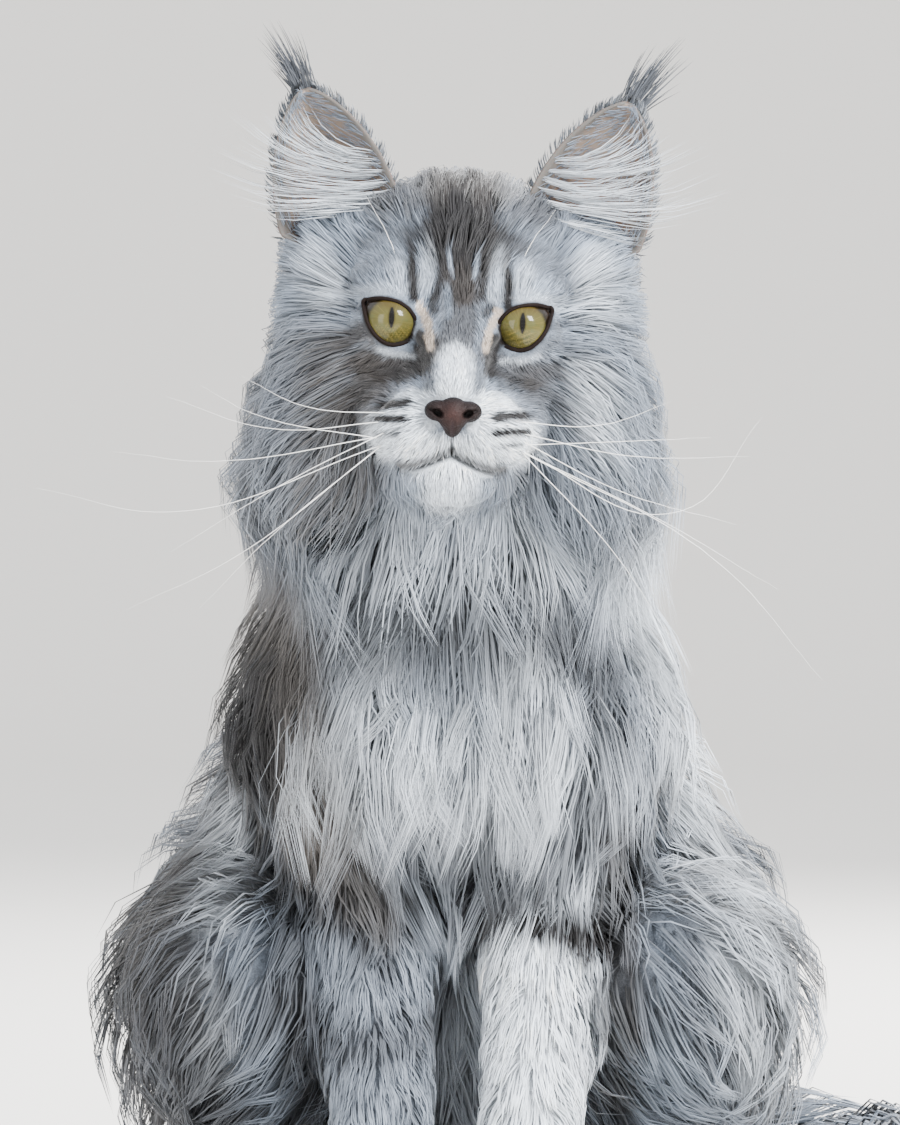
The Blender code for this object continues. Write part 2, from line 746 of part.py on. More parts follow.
def lock_path(root, normal, cores, spec, length, lift, draw):
    """Places along a lock that rises off the cores and follows the coat's lie, and their ups."""
    lie = LIES[spec["lie"]]
    sway = draw.uniform(-LOCK_SWAY, LOCK_SWAY)
    place = root
    last_share = 0
    path = []
    ups = []
    for share, _ in LOCK_TAPER:
        if share == 0:
            heading = lie(place)
            heading = (heading - normal * heading.dot(normal)).normalized()
            path.append(root - normal * LOCK_SINK - heading * LOCK_SINK)
            ups.append(normal)
            continue
        heading = lie(place)
        inward = heading.dot(ups[-1])
        if inward < 0:
            heading -= ups[-1] * inward
        heading = heading.normalized() + heading.cross(ups[-1]).normalized() * sway * share
        heading += Vector((0, 0, -LOCK_DROOP)) * share
        place = place + heading.normalized() * length * (share - last_share)
        last_share = share
        near, facing, _, _ = cores.find_nearest(place * MM)
        near = near / MM
        height = (spec["stand"] * length / spec["length"] + lift) * share_at(LOCK_RISE, share)
        off = (place - near).dot(facing)
        if off < height:
            place = place + facing * (height - off)
        place.z = max(place.z, LOWEST_LOCK)
        path.append(place)
        ups.append((ups[-1] + facing).normalized())
    return path, ups


def neighbours_of(name):
    """The surface of every other node, with the locks that it has so far."""
    others = [other for other in nodes if other != name]
    grown_so_far = [lock for other in others for lock in locks[other]]
    return surface_of(*[nodes[other] for other in others], *grown_so_far)


def grow_locks(name, blade, random_draw):
    """Covers a node's core with locks that keep clear of the other nodes."""
    spec = COAT[name]
    core = nodes[name]
    others = neighbours_of(name)
    own = surface_of(*nodes.values())
    count = 0
    for root, normal in lock_roots(name, core, others, random_draw):
        vary = random_draw.uniform(0.8, 1.2)
        for shorter, lift in LOCK_TRIES:
            length = spec["length"] * vary * shorter
            path, ups = lock_path(root, normal, own, spec, length, lift, random.Random(count))
            width = spec["width"] * (0.5 + 0.5 * shorter) * random_draw.uniform(0.85, 1.1)
            spare = 2 * LOCK_CLEARANCE
            test = bent_blade(blade, path, ups, width + spare, spec["thick"] + spare)
            lowest = min(vert.co.z for vert in test.verts)
            clear = lowest > 0 and not BVHTree.FromBMesh(test).overlap(others)
            test.free()
            if clear:
                bm = bent_blade(blade, path, ups, width, spec["thick"])
                locks[name].append(object_from("lock", bm))
                count += 1
                break
    return count


def pinches(obj):
    """Places where the surface touches itself along an edge."""
    bm = bmesh.new()
    bm.from_mesh(obj.data)
    bmesh.ops.remove_doubles(bm, verts=bm.verts, dist=WELD * MM)
    edges = [edge for edge in bm.edges if len(edge.link_faces) != 2]
    places = [(edge.verts[0].co + edge.verts[1].co) / 2 for edge in edges]
    bm.free()
    return places


def fuse_locks(name, own_locks):
    """Joins a node's locks to it, but for any that makes the surface touch itself."""
    core = nodes[name]
    while own_locks:
        fused = copy_of(core, "fused")
        boolean(fused, [copy_of(lock, "lock") for lock in own_locks], "UNION", "MANIFOLD")
        largest_shell(fused)
        pinched = pinches(fused)
        if not pinched:
            core.data = fused.data
            bpy.data.objects.remove(fused)
            break
        bpy.data.objects.remove(fused)
        worst = min(own_locks, key=lambda lock: surface_of(lock).find_nearest(pinched[0])[3])
        own_locks.remove(worst)
        bpy.data.objects.remove(worst)
    for lock in own_locks:
        bpy.data.objects.remove(lock)


def tail_piece(name, first, last):
    """A length of the tail, tapering along its line."""
    forms = []
    steps = len(TAIL_LINE) - 1
    root, tip = TAIL_RADIUS
    for step in range(first, last):
        start_radius = root + (tip - root) * step / steps
        end_radius = root + (tip - root) * (step + 1) / steps
        limb = (TAIL_LINE[step], start_radius, TAIL_LINE[step + 1], end_radius)
        forms.append(dict(limb=limb, coat=TAIL_COAT, long=True))
    return body_form(name, forms, 5, smoothing=4, triangles=130)


def finish_material(name):
    colour, roughness = FINISHES[name]
    material = bpy.data.materials.new(name)
    material.use_nodes = True
    shader = material.node_tree.nodes["Principled BSDF"]
    shader.inputs["Base Color"].default_value = (*colour, 1)
    shader.inputs["Roughness"].default_value = roughness
    material.diffuse_color = (*colour, 1)
    return material


def clear_scene():
    for obj in list(bpy.data.objects):
        bpy.data.objects.remove(obj)


clear_scene()
parts = bpy.data.collections.new("seated cat")
bpy.context.scene.collection.children.link(parts)

nodes = {}
add_node("nose", make_nose())
for label, side in SIDES.items():
    add_node(f"eye_{label}", make_eye(f"eye_{label}", side))
add_node("head", make_head(*nodes.values()))
for label, side in SIDES.items():
    add_node(f"ear_{label}", make_ear(f"ear_{label}", side))
torso_forms = TORSO_FORMS + both_sides(TORSO_PAIRS)
torso = body_form("torso", torso_forms, 6, smoothing=6, triangles=480)
neck = body_form("neck", NECK_FORMS, 5, smoothing=4, triangles=220)
part_at(nodes["head"], neck, HEAD_CUT)
part_at(neck, torso, NECK_CUT)
add_node("neck", neck)
add_node("torso", torso)
for label, side in SIDES.items():
    add_leg_piece(f"foreleg_{label}", FORELEG_FORMS, side, voxel=4, triangles=300)
    add_leg_piece(f"forepaw_{label}", FOREPAW_FORMS, side, 2, 270, toes(FORE_TOES, side))
for label, side in SIDES.items():
    add_leg_piece(f"haunch_{label}", HAUNCH_FORMS, side, voxel=5, triangles=300)
    add_leg_piece(f"hind_foot_{label}", HIND_FOOT_FORMS, side, 2, 270, toes(HIND_TOES, side))
for name, (first, last) in TAIL_LENGTHS.items():
    add_node(name, tail_piece(name, first, last))

blade = make_blade()
locks = {name: [] for name in nodes}
for seed, name in enumerate(COAT):
    grow_locks(name, blade, random.Random(seed))
for label, side in SIDES.items():
    grow_ear_locks(f"ear_{label}", side, blade)
for name, own_locks in locks.items():
    fuse_locks(name, own_locks)

figure = bpy.data.objects.new("seated_cat", None)
parts.objects.link(figure)
corners = [vert.co for obj in nodes.values() for vert in obj.data.vertices]
for axis in (0, 1):
    ends = [corner[axis] for corner in corners]
    figure.location[axis] = -(min(ends) + max(ends)) / 2
materials = {name: finish_material(name) for name in FINISHES}
for name, obj in nodes.items():
    kind = name.split("_")[0]
    finish = {"nose": "nose_leather", "eye": "eye", "ear": "ear_skin"}.get(kind, "coat_silver")
    obj.data.materials.append(materials[finish])
    obj.data.shade_smooth()
    obj.data.set_sharp_from_angle(angle=math.radians(40))
    obj.parent = figure
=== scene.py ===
import math

import bmesh
import bpy
import numpy as np
from mathutils import Matrix, Vector
from mathutils.bvhtree import BVHTree
from mathutils.kdtree import KDTree


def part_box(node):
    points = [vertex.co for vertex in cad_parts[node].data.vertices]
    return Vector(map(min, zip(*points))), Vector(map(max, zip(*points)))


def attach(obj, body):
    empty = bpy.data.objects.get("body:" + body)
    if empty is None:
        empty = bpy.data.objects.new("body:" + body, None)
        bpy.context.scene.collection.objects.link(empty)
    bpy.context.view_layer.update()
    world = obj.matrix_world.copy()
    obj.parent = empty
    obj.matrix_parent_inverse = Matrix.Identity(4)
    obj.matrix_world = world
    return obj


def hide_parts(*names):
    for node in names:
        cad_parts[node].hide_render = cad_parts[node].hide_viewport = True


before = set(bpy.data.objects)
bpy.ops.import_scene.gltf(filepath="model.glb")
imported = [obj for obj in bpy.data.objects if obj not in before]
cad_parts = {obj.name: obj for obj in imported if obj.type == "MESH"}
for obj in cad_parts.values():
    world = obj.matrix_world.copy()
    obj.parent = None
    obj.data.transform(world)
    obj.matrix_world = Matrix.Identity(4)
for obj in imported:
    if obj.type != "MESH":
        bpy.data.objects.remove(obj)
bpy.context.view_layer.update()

mm = 0.001
sides = {"left": 1, "right": -1}          # the cat's left is +X
rng = np.random.default_rng(11)

# Everything is laid out in millimetres on the figure's own axes, and placed over the frame by its eyes.
head = {"origin": (0, -100, 356), "roll": 2.5}
eye = {"spacing": 22.9, "radius": 11, "depth": 7}
# The edge of the lids round an eye, outwards and up from its middle in mm, from the outer corner on
lidLine = [
    (10.9, 6.9), (8.4, 7.9), (5.2, 8.3), (1.6, 8.0), (-2.6, 6.9), (-6.2, 4.6), (-8.7, 1.2), (-10.1, -2.8),
    (-9.9, -5.4), (-7.4, -7.2), (-4.0, -8.5), (-0.5, -8.9), (3.2, -7.7), (6.6, -4.6), (9.2, -0.2),
]
eyeBoxes = [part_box("eye_left"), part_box("eye_right")]
figureShift = np.array([
    sum(low.x + high.x for low, high in eyeBoxes) / 4,
    eyeBoxes[0][1].y - (head["origin"][1] + eye["depth"] + eye["radius"]) * mm,
    0,
])


def srgb(code):
    channels = [int(code[i:i + 2], 16) / 255 for i in (0, 2, 4)]
    return np.array([c / 12.92 if c <= 0.04045 else ((c + 0.055) / 1.055) ** 2.4 for c in channels])


def smooth(low, high, value):
    share = np.clip((value - low) / (high - low), 0, 1)
    return share * share * (3 - 2 * share)


def unit(vectors):
    return vectors / np.maximum(np.linalg.norm(vectors, axis=-1, keepdims=True), 1e-9)


rollAngle = math.radians(head["roll"])
headTurn = np.array([
    [math.cos(rollAngle), 0, math.sin(rollAngle)],
    [0, 1, 0],
    [-math.sin(rollAngle), 0, math.cos(rollAngle)],
])


def toHead(points):
    return (points - head["origin"]) @ headTurn


def fromHead(points):
    return np.asarray(points, float) @ headTurn.T + head["origin"]


# Bare body: balls (centre, half sizes) and limbs (end, radius, end, radius), each with its coat's depth.
# Those of the head are on the head's own axes. Paired ones are given for the cat's left.
bodyForms = {
    "head": [
        dict(ball=(0, 44, 12), size=(41, 44, 38), coat=9),
        dict(ball=(0, 22, 14), size=(34, 22, 26), coat=5),
        dict(limb=((0, 10, 4), 14, (0, -28, -24), 9), coat=1.5),
        dict(ball=(0, -8, -36), size=(19, 22, 15), coat=2.5),
        dict(ball=(0, -16, -53), size=(15, 12, 9), coat=5.5),
        dict(ball=(0, 16, -44), size=(24, 30, 16), coat=7),
        dict(ball=(0, 42, -34), size=(32, 34, 30), coat=20),
        dict(ball=(22, 13, 14), size=(14, 10, 7), coat=4, pair=True),
        dict(ball=(19, 9, -17), size=(14, 12, 13), coat=3, pair=True),
        dict(limb=((10, 4, -14), 6, (11, -16, -32), 9), coat=2, pair=True),
        dict(ball=(17, 6, -33), size=(14, 18, 12), coat=4, pair=True),
        dict(ball=(31, 34, -17), size=(24, 30, 29), coat=13, pair=True),
        dict(ball=(37, 39, 8), size=(19, 21, 24), coat=11, pair=True),
        dict(ball=(39, 43, 22), size=(16, 15, 14), coat=11, pair=True),
        dict(ball=(37, 38, -37), size=(20, 26, 24), coat=23, pair=True),
        dict(ball=(13, -19, -39), size=(14, 14, 11), coat=2.5, pair=True),
        dict(ball=(22.9, 7, 0), size=(12.6, 12.6, 12.6), coat=1.5, pair=True),
    ],
    "neck": [
        dict(limb=((0, -42, 318), 40, (0, -10, 250), 49), coat=32),
        dict(ball=(33, -14, 294), size=(20, 30, 32), coat=27, pair=True),
    ],
    "torso": [
        dict(ball=(0, -6, 222), size=(52, 50, 60), coat=26),
        dict(limb=((0, 12, 214), 56, (0, 80, 130), 70), coat=24),
        dict(ball=(0, 60, 102), size=(60, 60, 56), coat=20),
        dict(ball=(0, 118, 80), size=(64, 66, 76), coat=24),
        dict(ball=(42, 62, 166), size=(38, 54, 42), coat=24, pair=True),
        dict(ball=(34, 4, 232), size=(30, 38, 46), coat=24, pair=True),
        dict(limb=((42, -8, 205), 28, (33, -16, 148), 18), coat=16, pair=True),
    ],
    "foreleg": [dict(limb=((33, -16, 148), 18, (24, -72, 42), 13.5), coat=7, pair=True)],
    "forepaw": [
        dict(limb=((24, -72, 42), 13, (25, -86, 22), 14), coat=5, pair=True),
        dict(ball=(25, -94, 13), size=(17, 22, 14), coat=4, pair=True),
    ],
    "haunch": [
        dict(limb=((52, 108, 118), 56, (78, -8, 112), 33), coat=24, pair=True),
        dict(limb=((78, -8, 112), 31, (74, 60, 24), 18), coat=14, pair=True),
    ],
    "hindFoot": [dict(limb=((74, 60, 24), 15, (74, -42, 18), 15), coat=5, pair=True)],
    "tail": [],
}
for region, toeLine in (("forepaw", (25, -110, 11)), ("hindFoot", (74, -60, 11))):
    for spread, back in zip((-13.5, -4.8, 4.8, 13.5), (4, 0, 0, 4)):
        toe = (toeLine[0] + spread, toeLine[1] + back, toeLine[2])
        bodyForms[region].append(dict(ball=toe, size=(6.2, 11, 9), coat=3, pair=True))
tail = {
    "line": [
        (0, 176, 44), (12, 216, 30), (46, 244, 24), (92, 248, 23), (134, 228, 22),
        (162, 188, 22), (174, 140, 21), (174, 94, 20), (164, 54, 18),
    ],
    "radius": (14, 9), "coat": 28,
}
tailSteps = len(tail["line"]) - 1
for step in range(tailSteps):
    ends = [tail["radius"][0] + (tail["radius"][1] - tail["radius"][0]) * at / tailSteps
            for at in (step, step + 1)]
    limb = (tail["line"][step], ends[0], tail["line"][step + 1], ends[1])
    bodyForms["tail"].append(dict(limb=limb, coat=tail["coat"]))

regions = list(bodyForms)
balls, limbs = [], []
for region, forms in bodyForms.items():
    for form in forms:
        for side in (1, -1) if form.get("pair") else (1,):
            flip = np.array([side, 1, 1])
            turn = headTurn if region == "head" else np.eye(3)
            place = fromHead if region == "head" else np.asarray
            entry = dict(coat=form["coat"], region=regions.index(region), turn=turn)
            if "ball" in form:
                entry.update(at=place(flip * form["ball"]), size=np.array(form["size"], float))
                balls.append(entry)
            else:
                start, startRadius, end, endRadius = form["limb"]
                entry.update(a=place(flip * start), b=place(flip * end), ra=startRadius, rb=endRadius)
                limbs.append(entry)


def stacked(entries, key):
    return np.array([entry[key] for entry in entries], float)


ballAt, ballSize, ballTurn = (stacked(balls, key) for key in ("at", "size", "turn"))
limbA, limbB = stacked(limbs, "a"), stacked(limbs, "b")
limbRa, limbRb = stacked(limbs, "ra"), stacked(limbs, "rb")
formCoat = np.array([entry["coat"] for entry in balls + limbs], float)
formRegion = np.zeros((len(formCoat), len(regions)))
for row, entry in enumerate(balls + limbs):
    formRegion[row, entry["region"]] = 1


# Height over the bare body, the way outwards, the coat's depth there, and each region's share
def bodyField(points, chunk=16000):
    parts = []
    for start in range(0, len(points), chunk):
        p = points[start:start + chunk]
        rel = np.einsum("nbi,bij->nbj", p[:, None] - ballAt, ballTurn)
        scaled = rel / ballSize
        grad = scaled / ballSize
        k0 = np.linalg.norm(scaled, axis=2)
        k1 = np.linalg.norm(grad, axis=2) + 1e-9
        ballGrad = np.einsum("nbj,bij->nbi", grad / k1[..., None], ballTurn)
        ballHeight = k0 * (k0 - 1) / k1
        axis = limbB - limbA
        share = np.einsum("nbi,bi->nb", p[:, None] - limbA, axis) / (axis ** 2).sum(1)
        share = np.clip(share, 0, 1)
        off = p[:, None] - limbA - share[..., None] * axis
        reach = np.linalg.norm(off, axis=2)
        limbHeight = reach - limbRa - (limbRb - limbRa) * share
        limbGrad = off / np.maximum(reach, 1e-9)[..., None]
        height = np.concatenate([ballHeight, limbHeight], 1)
        grads = np.concatenate([ballGrad, limbGrad], 1)
        least = height.min(1, keepdims=True)
        # limbs melt into each other more on the trunk than on the head and the paws
        blend = 1.8 + 3.4 * smooth(45, 90, p[:, 2:3]) * smooth(300, 262, p[:, 2:3])
        weight = np.exp(-(height - least) / blend)
        total = weight.sum(1, keepdims=True)
        weight /= total
        parts.append((
            (least - blend * np.log(total))[:, 0],
            unit(np.einsum("nb,nbi->ni", weight, grads)),
            weight @ formCoat,
            weight @ formRegion,
        ))
    return tuple(np.concatenate(column) for column in zip(*parts))


print("body laid out:", len(formCoat), "forms")


# How far a point (x, z) of the face is from a line of points
def lineDistance(x, z, line):
    best = np.full(len(x), 1e9)
    for (ax, az), (bx, bz) in zip(line, line[1:]):
        dx, dz = bx - ax, bz - az
        share = np.clip(((x - ax) * dx + (z - az) * dz) / (dx * dx + dz * dz), 0, 1)
        best = np.minimum(best, np.hypot(x - ax - share * dx, z - az - share * dz))
    return best


# Signed distance from the edge of the lids, less than nothing on the open eye
def lidDistance(local, side):
    x, z = local[:, 0] * side - eye["spacing"], local[:, 2]
    loop = lidLine + lidLine[:1]
    crossed = np.zeros(len(x), bool)
    for (ax, az), (bx, bz) in zip(loop, loop[1:]):
        with np.errstate(divide="ignore", invalid="ignore"):
            at = ax + (z - az) / (bz - az) * (bx - ax)
        crossed ^= ((az > z) != (bz > z)) & (x < at)
    away = lineDistance(x, z, loop)
    return np.where(crossed, -away, away)


mouth = {"top": -39, "middle": -45.2, "width": 18.5, "sag": 5.8, "depth": 3.0, "fine": 1.2}
lipArc = [
    (mouth["width"] * s / 6, mouth["middle"] - mouth["sag"] * math.sin(s / 6 * math.pi * 0.55))
    for s in range(7)
]


def mouthDistance(local):
    x, z = np.abs(local[:, 0]), local[:, 2]
    lips = lineDistance(x, z, lipArc)
    philtrum = lineDistance(x, z, [(0, mouth["top"]), (0, mouth["middle"])])
    return lips, philtrum


# Fur colours by place. Stripes and patches of the face are (x, z) on the head's own axes, seen from
# the front, in mm.
furTones = {
    "silver": srgb("7E8998"), "white": srgb("E8F1FB"), "dark": srgb("171618"),
    "brown": srgb("524D48"), "cream": srgb("BFAF9F"), "blue": srgb("66717F"),
    "lid": srgb("120C0A"), "char": srgb("2C2826"), "slate": srgb("41454C"),
}
# line of places, half width, softness, tone, strength
faceMarks = [
    # crown and forehead
    ([(0, 54), (0, 40), (1, 28)], 14, 9, "dark", 1),
    ([(-28, 44), (-14, 50), (12, 50), (28, 42)], 8, 10, "char", 0.75),
    ([(-17, 31), (-6, 36), (8, 36), (20, 29)], 5, 5, "dark", 0.95),
    ([(-1, 44), (1, 34), (1, 24), (2, 10)], 4.6, 3, "dark", 1),
    ([(-7, 27), (-5.5, 19), (-8, 9)], 1.8, 1.9, "dark", 0.95),
    ([(11, 28), (9, 17), (8, 9)], 2, 2, "dark", 0.95),
    ([(-17, 27), (-16.5, 18), (-15.5, 8.5)], 2.1, 2.2, "dark", 1),
    ([(16, 24), (17.6, 15), (17.6, 7)], 2, 2.2, "dark", 1),
    ([(-34, 28), (-26, 32), (-17, 32)], 3, 6, "slate", 0.75),
    ([(21, 28), (29, 28), (38, 22)], 3, 6, "slate", 0.75),
    ([(-40, 12), (-32, 20), (-24, 24)], 2.5, 4, "slate", 0.6),
    ([(26, 22), (34, 20), (42, 12)], 2.5, 4, "slate", 0.6),
    # between the eyes and down the bridge
    ([(1, 14), (1, 0), (0, -9)], 7, 5, "char", 0.8),
    ([(-4, 12), (-3, 2)], 1.2, 2, "blue", 0.7),
    ([(-8, 4), (-9, 7)], 2, 2.4, "dark", 0.9),
    ([(10, 4), (11.5, 6)], 2, 2.4, "dark", 0.9),
    ([(-7.5, -13), (-8.5, -24)], 2, 2.6, "slate", 0.7),
    ([(7.5, -13), (8.5, -24)], 2, 2.6, "slate", 0.6),
    # under the inner corners and over the cheeks
    ([(-9.5, -10), (-14, -15), (-24, -17), (-34, -16)], 5, 4, "char", 0.95),
    ([(12, -10), (16, -15), (28, -17), (36, -15)], 4.6, 4, "char", 0.8),
    ([(-12.6, -5), (-11.4, -10), (-11, -17)], 2.4, 2, "dark", 1),
    ([(13.6, -5), (12.6, -10), (12.4, -17)], 2.4, 2, "dark", 1),
    ([(-12, -15), (-17, -19), (-26, -20)], 3, 3.5, "dark", 0.75),
    ([(13, -15), (17, -20), (26, -21)], 3, 3.5, "dark", 0.7),
    ([(-32, -3), (-44, -9), (-50, -20)], 3.4, 4, "char", 0.75),
    ([(34, -5), (44, -10), (50, -20)], 3, 4, "slate", 0.6),
    ([(-26, -24), (-36, -27), (-42, -38)], 5, 5, "char", 0.8),
    ([(27, -22), (38, -26), (45, -34)], 4, 5, "char", 0.6),
    ([(-30, 3), (-42, 6), (-56, 3)], 2, 3, "slate", 0.75),
    ([(33, 1), (44, 4), (56, 0)], 2, 3, "slate", 0.65),
    ([(-46, 17), (-54, 8)], 4, 6, "dark", 0.7),
    ([(46, 16), (54, 8)], 4, 6, "dark", 0.5),
]
paleMarks = [
    ([(-52, 22), (-48, 10)], 7, 8, "white", 0.3),
    ([(48, 24), (52, 8)], 7, 8, "white", 0.5),
    ([(50, -18), (56, -40)], 8, 10, "white", 0.45),
    ([(-11, 26), (-11.5, 12)], 2.6, 2.2, "white", 0.16),
    ([(13.5, 25), (13, 10)], 2.6, 2.2, "white", 0.16),
    ([(-4, 25), (-2.6, 18)], 0.8, 1.3, "silver", 0.8),
    ([(6.2, 24), (5.6, 17)], 0.8, 1.3, "silver", 0.8),
    ([(-22, 20), (-21, 12)], 3.2, 4, "white", 0.16),
    ([(23, 20), (23, 10)], 3.2, 4, "white", 0.24),
    ([(-38, 9), (-26, 11)], 2.5, 4, "white", 0.2),
    ([(28, 10), (40, 8)], 2.5, 4, "white", 0.26),
    ([(-13.2, 6), (-10.4, 0), (-9, -9)], 1.5, 1, "cream", 0.9),
    ([(14.4, 5), (11.4, -2), (10.2, -9)], 1.5, 1, "cream", 0.9),
    ([(-27, -10), (-22, -11.5), (-15, -12)], 1.1, 2, "white", 0.3),
    ([(29, -10), (24, -12), (16.5, -12.5)], 1.1, 2, "white", 0.3),
    ([(0, -14), (0, -26)], 6, 5, "white", 0.8),
    # the cat's right whisker pad (-x) painted less white than its left: painted shade away from the key light
    ([(-13, -33), (-22, -40)], 9, 4, "white", 0.66),
    ([(13, -33), (22, -40)], 9, 4, "white", 1),
    ([(-11, -47), (11, -47)], 7, 7, "white", 0.95),
    ([(0, -50), (0, -60)], 9, 9, "white", 0.7),
]
padSpots = [
    ([(-16, -29), (-26, -30.5)], 1.9, 1.6, "dark", 1),
    ([(-16, -35), (-27, -35)], 1.4, 1.2, "dark", 1),
    ([(-18.5, -40.5), (-26, -40.5)], 1.0, 1.2, "dark", 0.7),
    ([(15, -32.8), (26, -31.5)], 1.9, 1.6, "dark", 1),
    ([(14.5, -38.5), (26, -37.4)], 1.4, 1.2, "dark", 1),
    ([(16.5, -43), (24, -42)], 0.9, 1.2, "dark", 0.7),
]


# Broad tones of the chest, arms and haunches seen from the front, (x, z) in mm: the coat's markings, with painted shade
# and painted light where noted
bodyMarks = [
    # painted shade: the cat's right flank (-x), away from the key light, darker and browner between the bib and the
    # haunch
    ([(-70, 254), (-60, 214), (-50, 176)], 17, 18, "brown", 0.9),
    ([(-84, 236), (-76, 196), (-84, 170)], 15, 12, "dark", 0.95),
    # painted shade: a grey band across the chest under the ruff's tier of locks
    ([(-36, 241), (-2, 243)], 8, 12, "slate", 0.75),
    ([(34, 245), (50, 226), (60, 205)], 8, 12, "slate", 0.75),
    # painted light: the cat's left shoulder (+x), towards the key light, paler
    ([(58, 306), (72, 268), (86, 226), (92, 196)], 16, 16, "white", 0.6),
    ([(-34, 226), (-24, 196), (-6, 178)], 12, 16, "white", 0.3),
    ([(24, 226), (24, 200), (10, 184)], 14, 14, "white", 0.36),
    ([(-50, 164), (-28, 146)], 13, 14, "brown", 0.85),
    ([(-14, 152), (10, 154), (30, 158)], 11, 14, "slate", 0.8),
    ([(-116, 160), (-108, 110), (-98, 70)], 24, 20, "char", 0.7),
    ([(-88, 176), (-86, 148)], 9, 10, "white", 0.5),
    ([(-92, 124), (-84, 84)], 5, 9, "white", 0.2),
    # painted shade in the gap between the cat's right haunch and foreleg, and beside the foreleg
    ([(-62, 152), (-58, 112), (-56, 76)], 8, 9, "dark", 0.75),
    ([(-40, 136), (-26, 126)], 5, 8, "dark", 0.7),
    # painted shade in the gap between the cat's left haunch and foreleg
    ([(58, 172), (60, 120), (58, 76)], 7, 9, "char", 0.8),
    ([(90, 200), (104, 150), (114, 90)], 16, 20, "white", 0.4),
    ([(84, 140), (88, 96)], 5, 9, "slate", 0.5),
    ([(104, 240), (112, 200)], 14, 16, "white", 0.35),
    ([(6, 140), (26, 142), (50, 136)], 7, 5, "dark", 1),
]


# Soft blotches that break a marking's edge, from a few crossed waves
def mottle(points, size, seed=0):
    turn = np.random.default_rng(seed)
    total = np.zeros(len(points))
    for octave in range(5):
        ways = unit(turn.normal(size=(3, 3)))
        shift = turn.uniform(0, 6.28, 3)
        waves = np.sin(points @ ways.T * (6.28 / size * 1.55 ** octave) + shift)
        total += waves.prod(1) / 1.3 ** octave
    return total


def paint(colour, mask, tone):
    return colour + (furTones[tone] - colour) * np.clip(mask, 0, 1)[:, None]


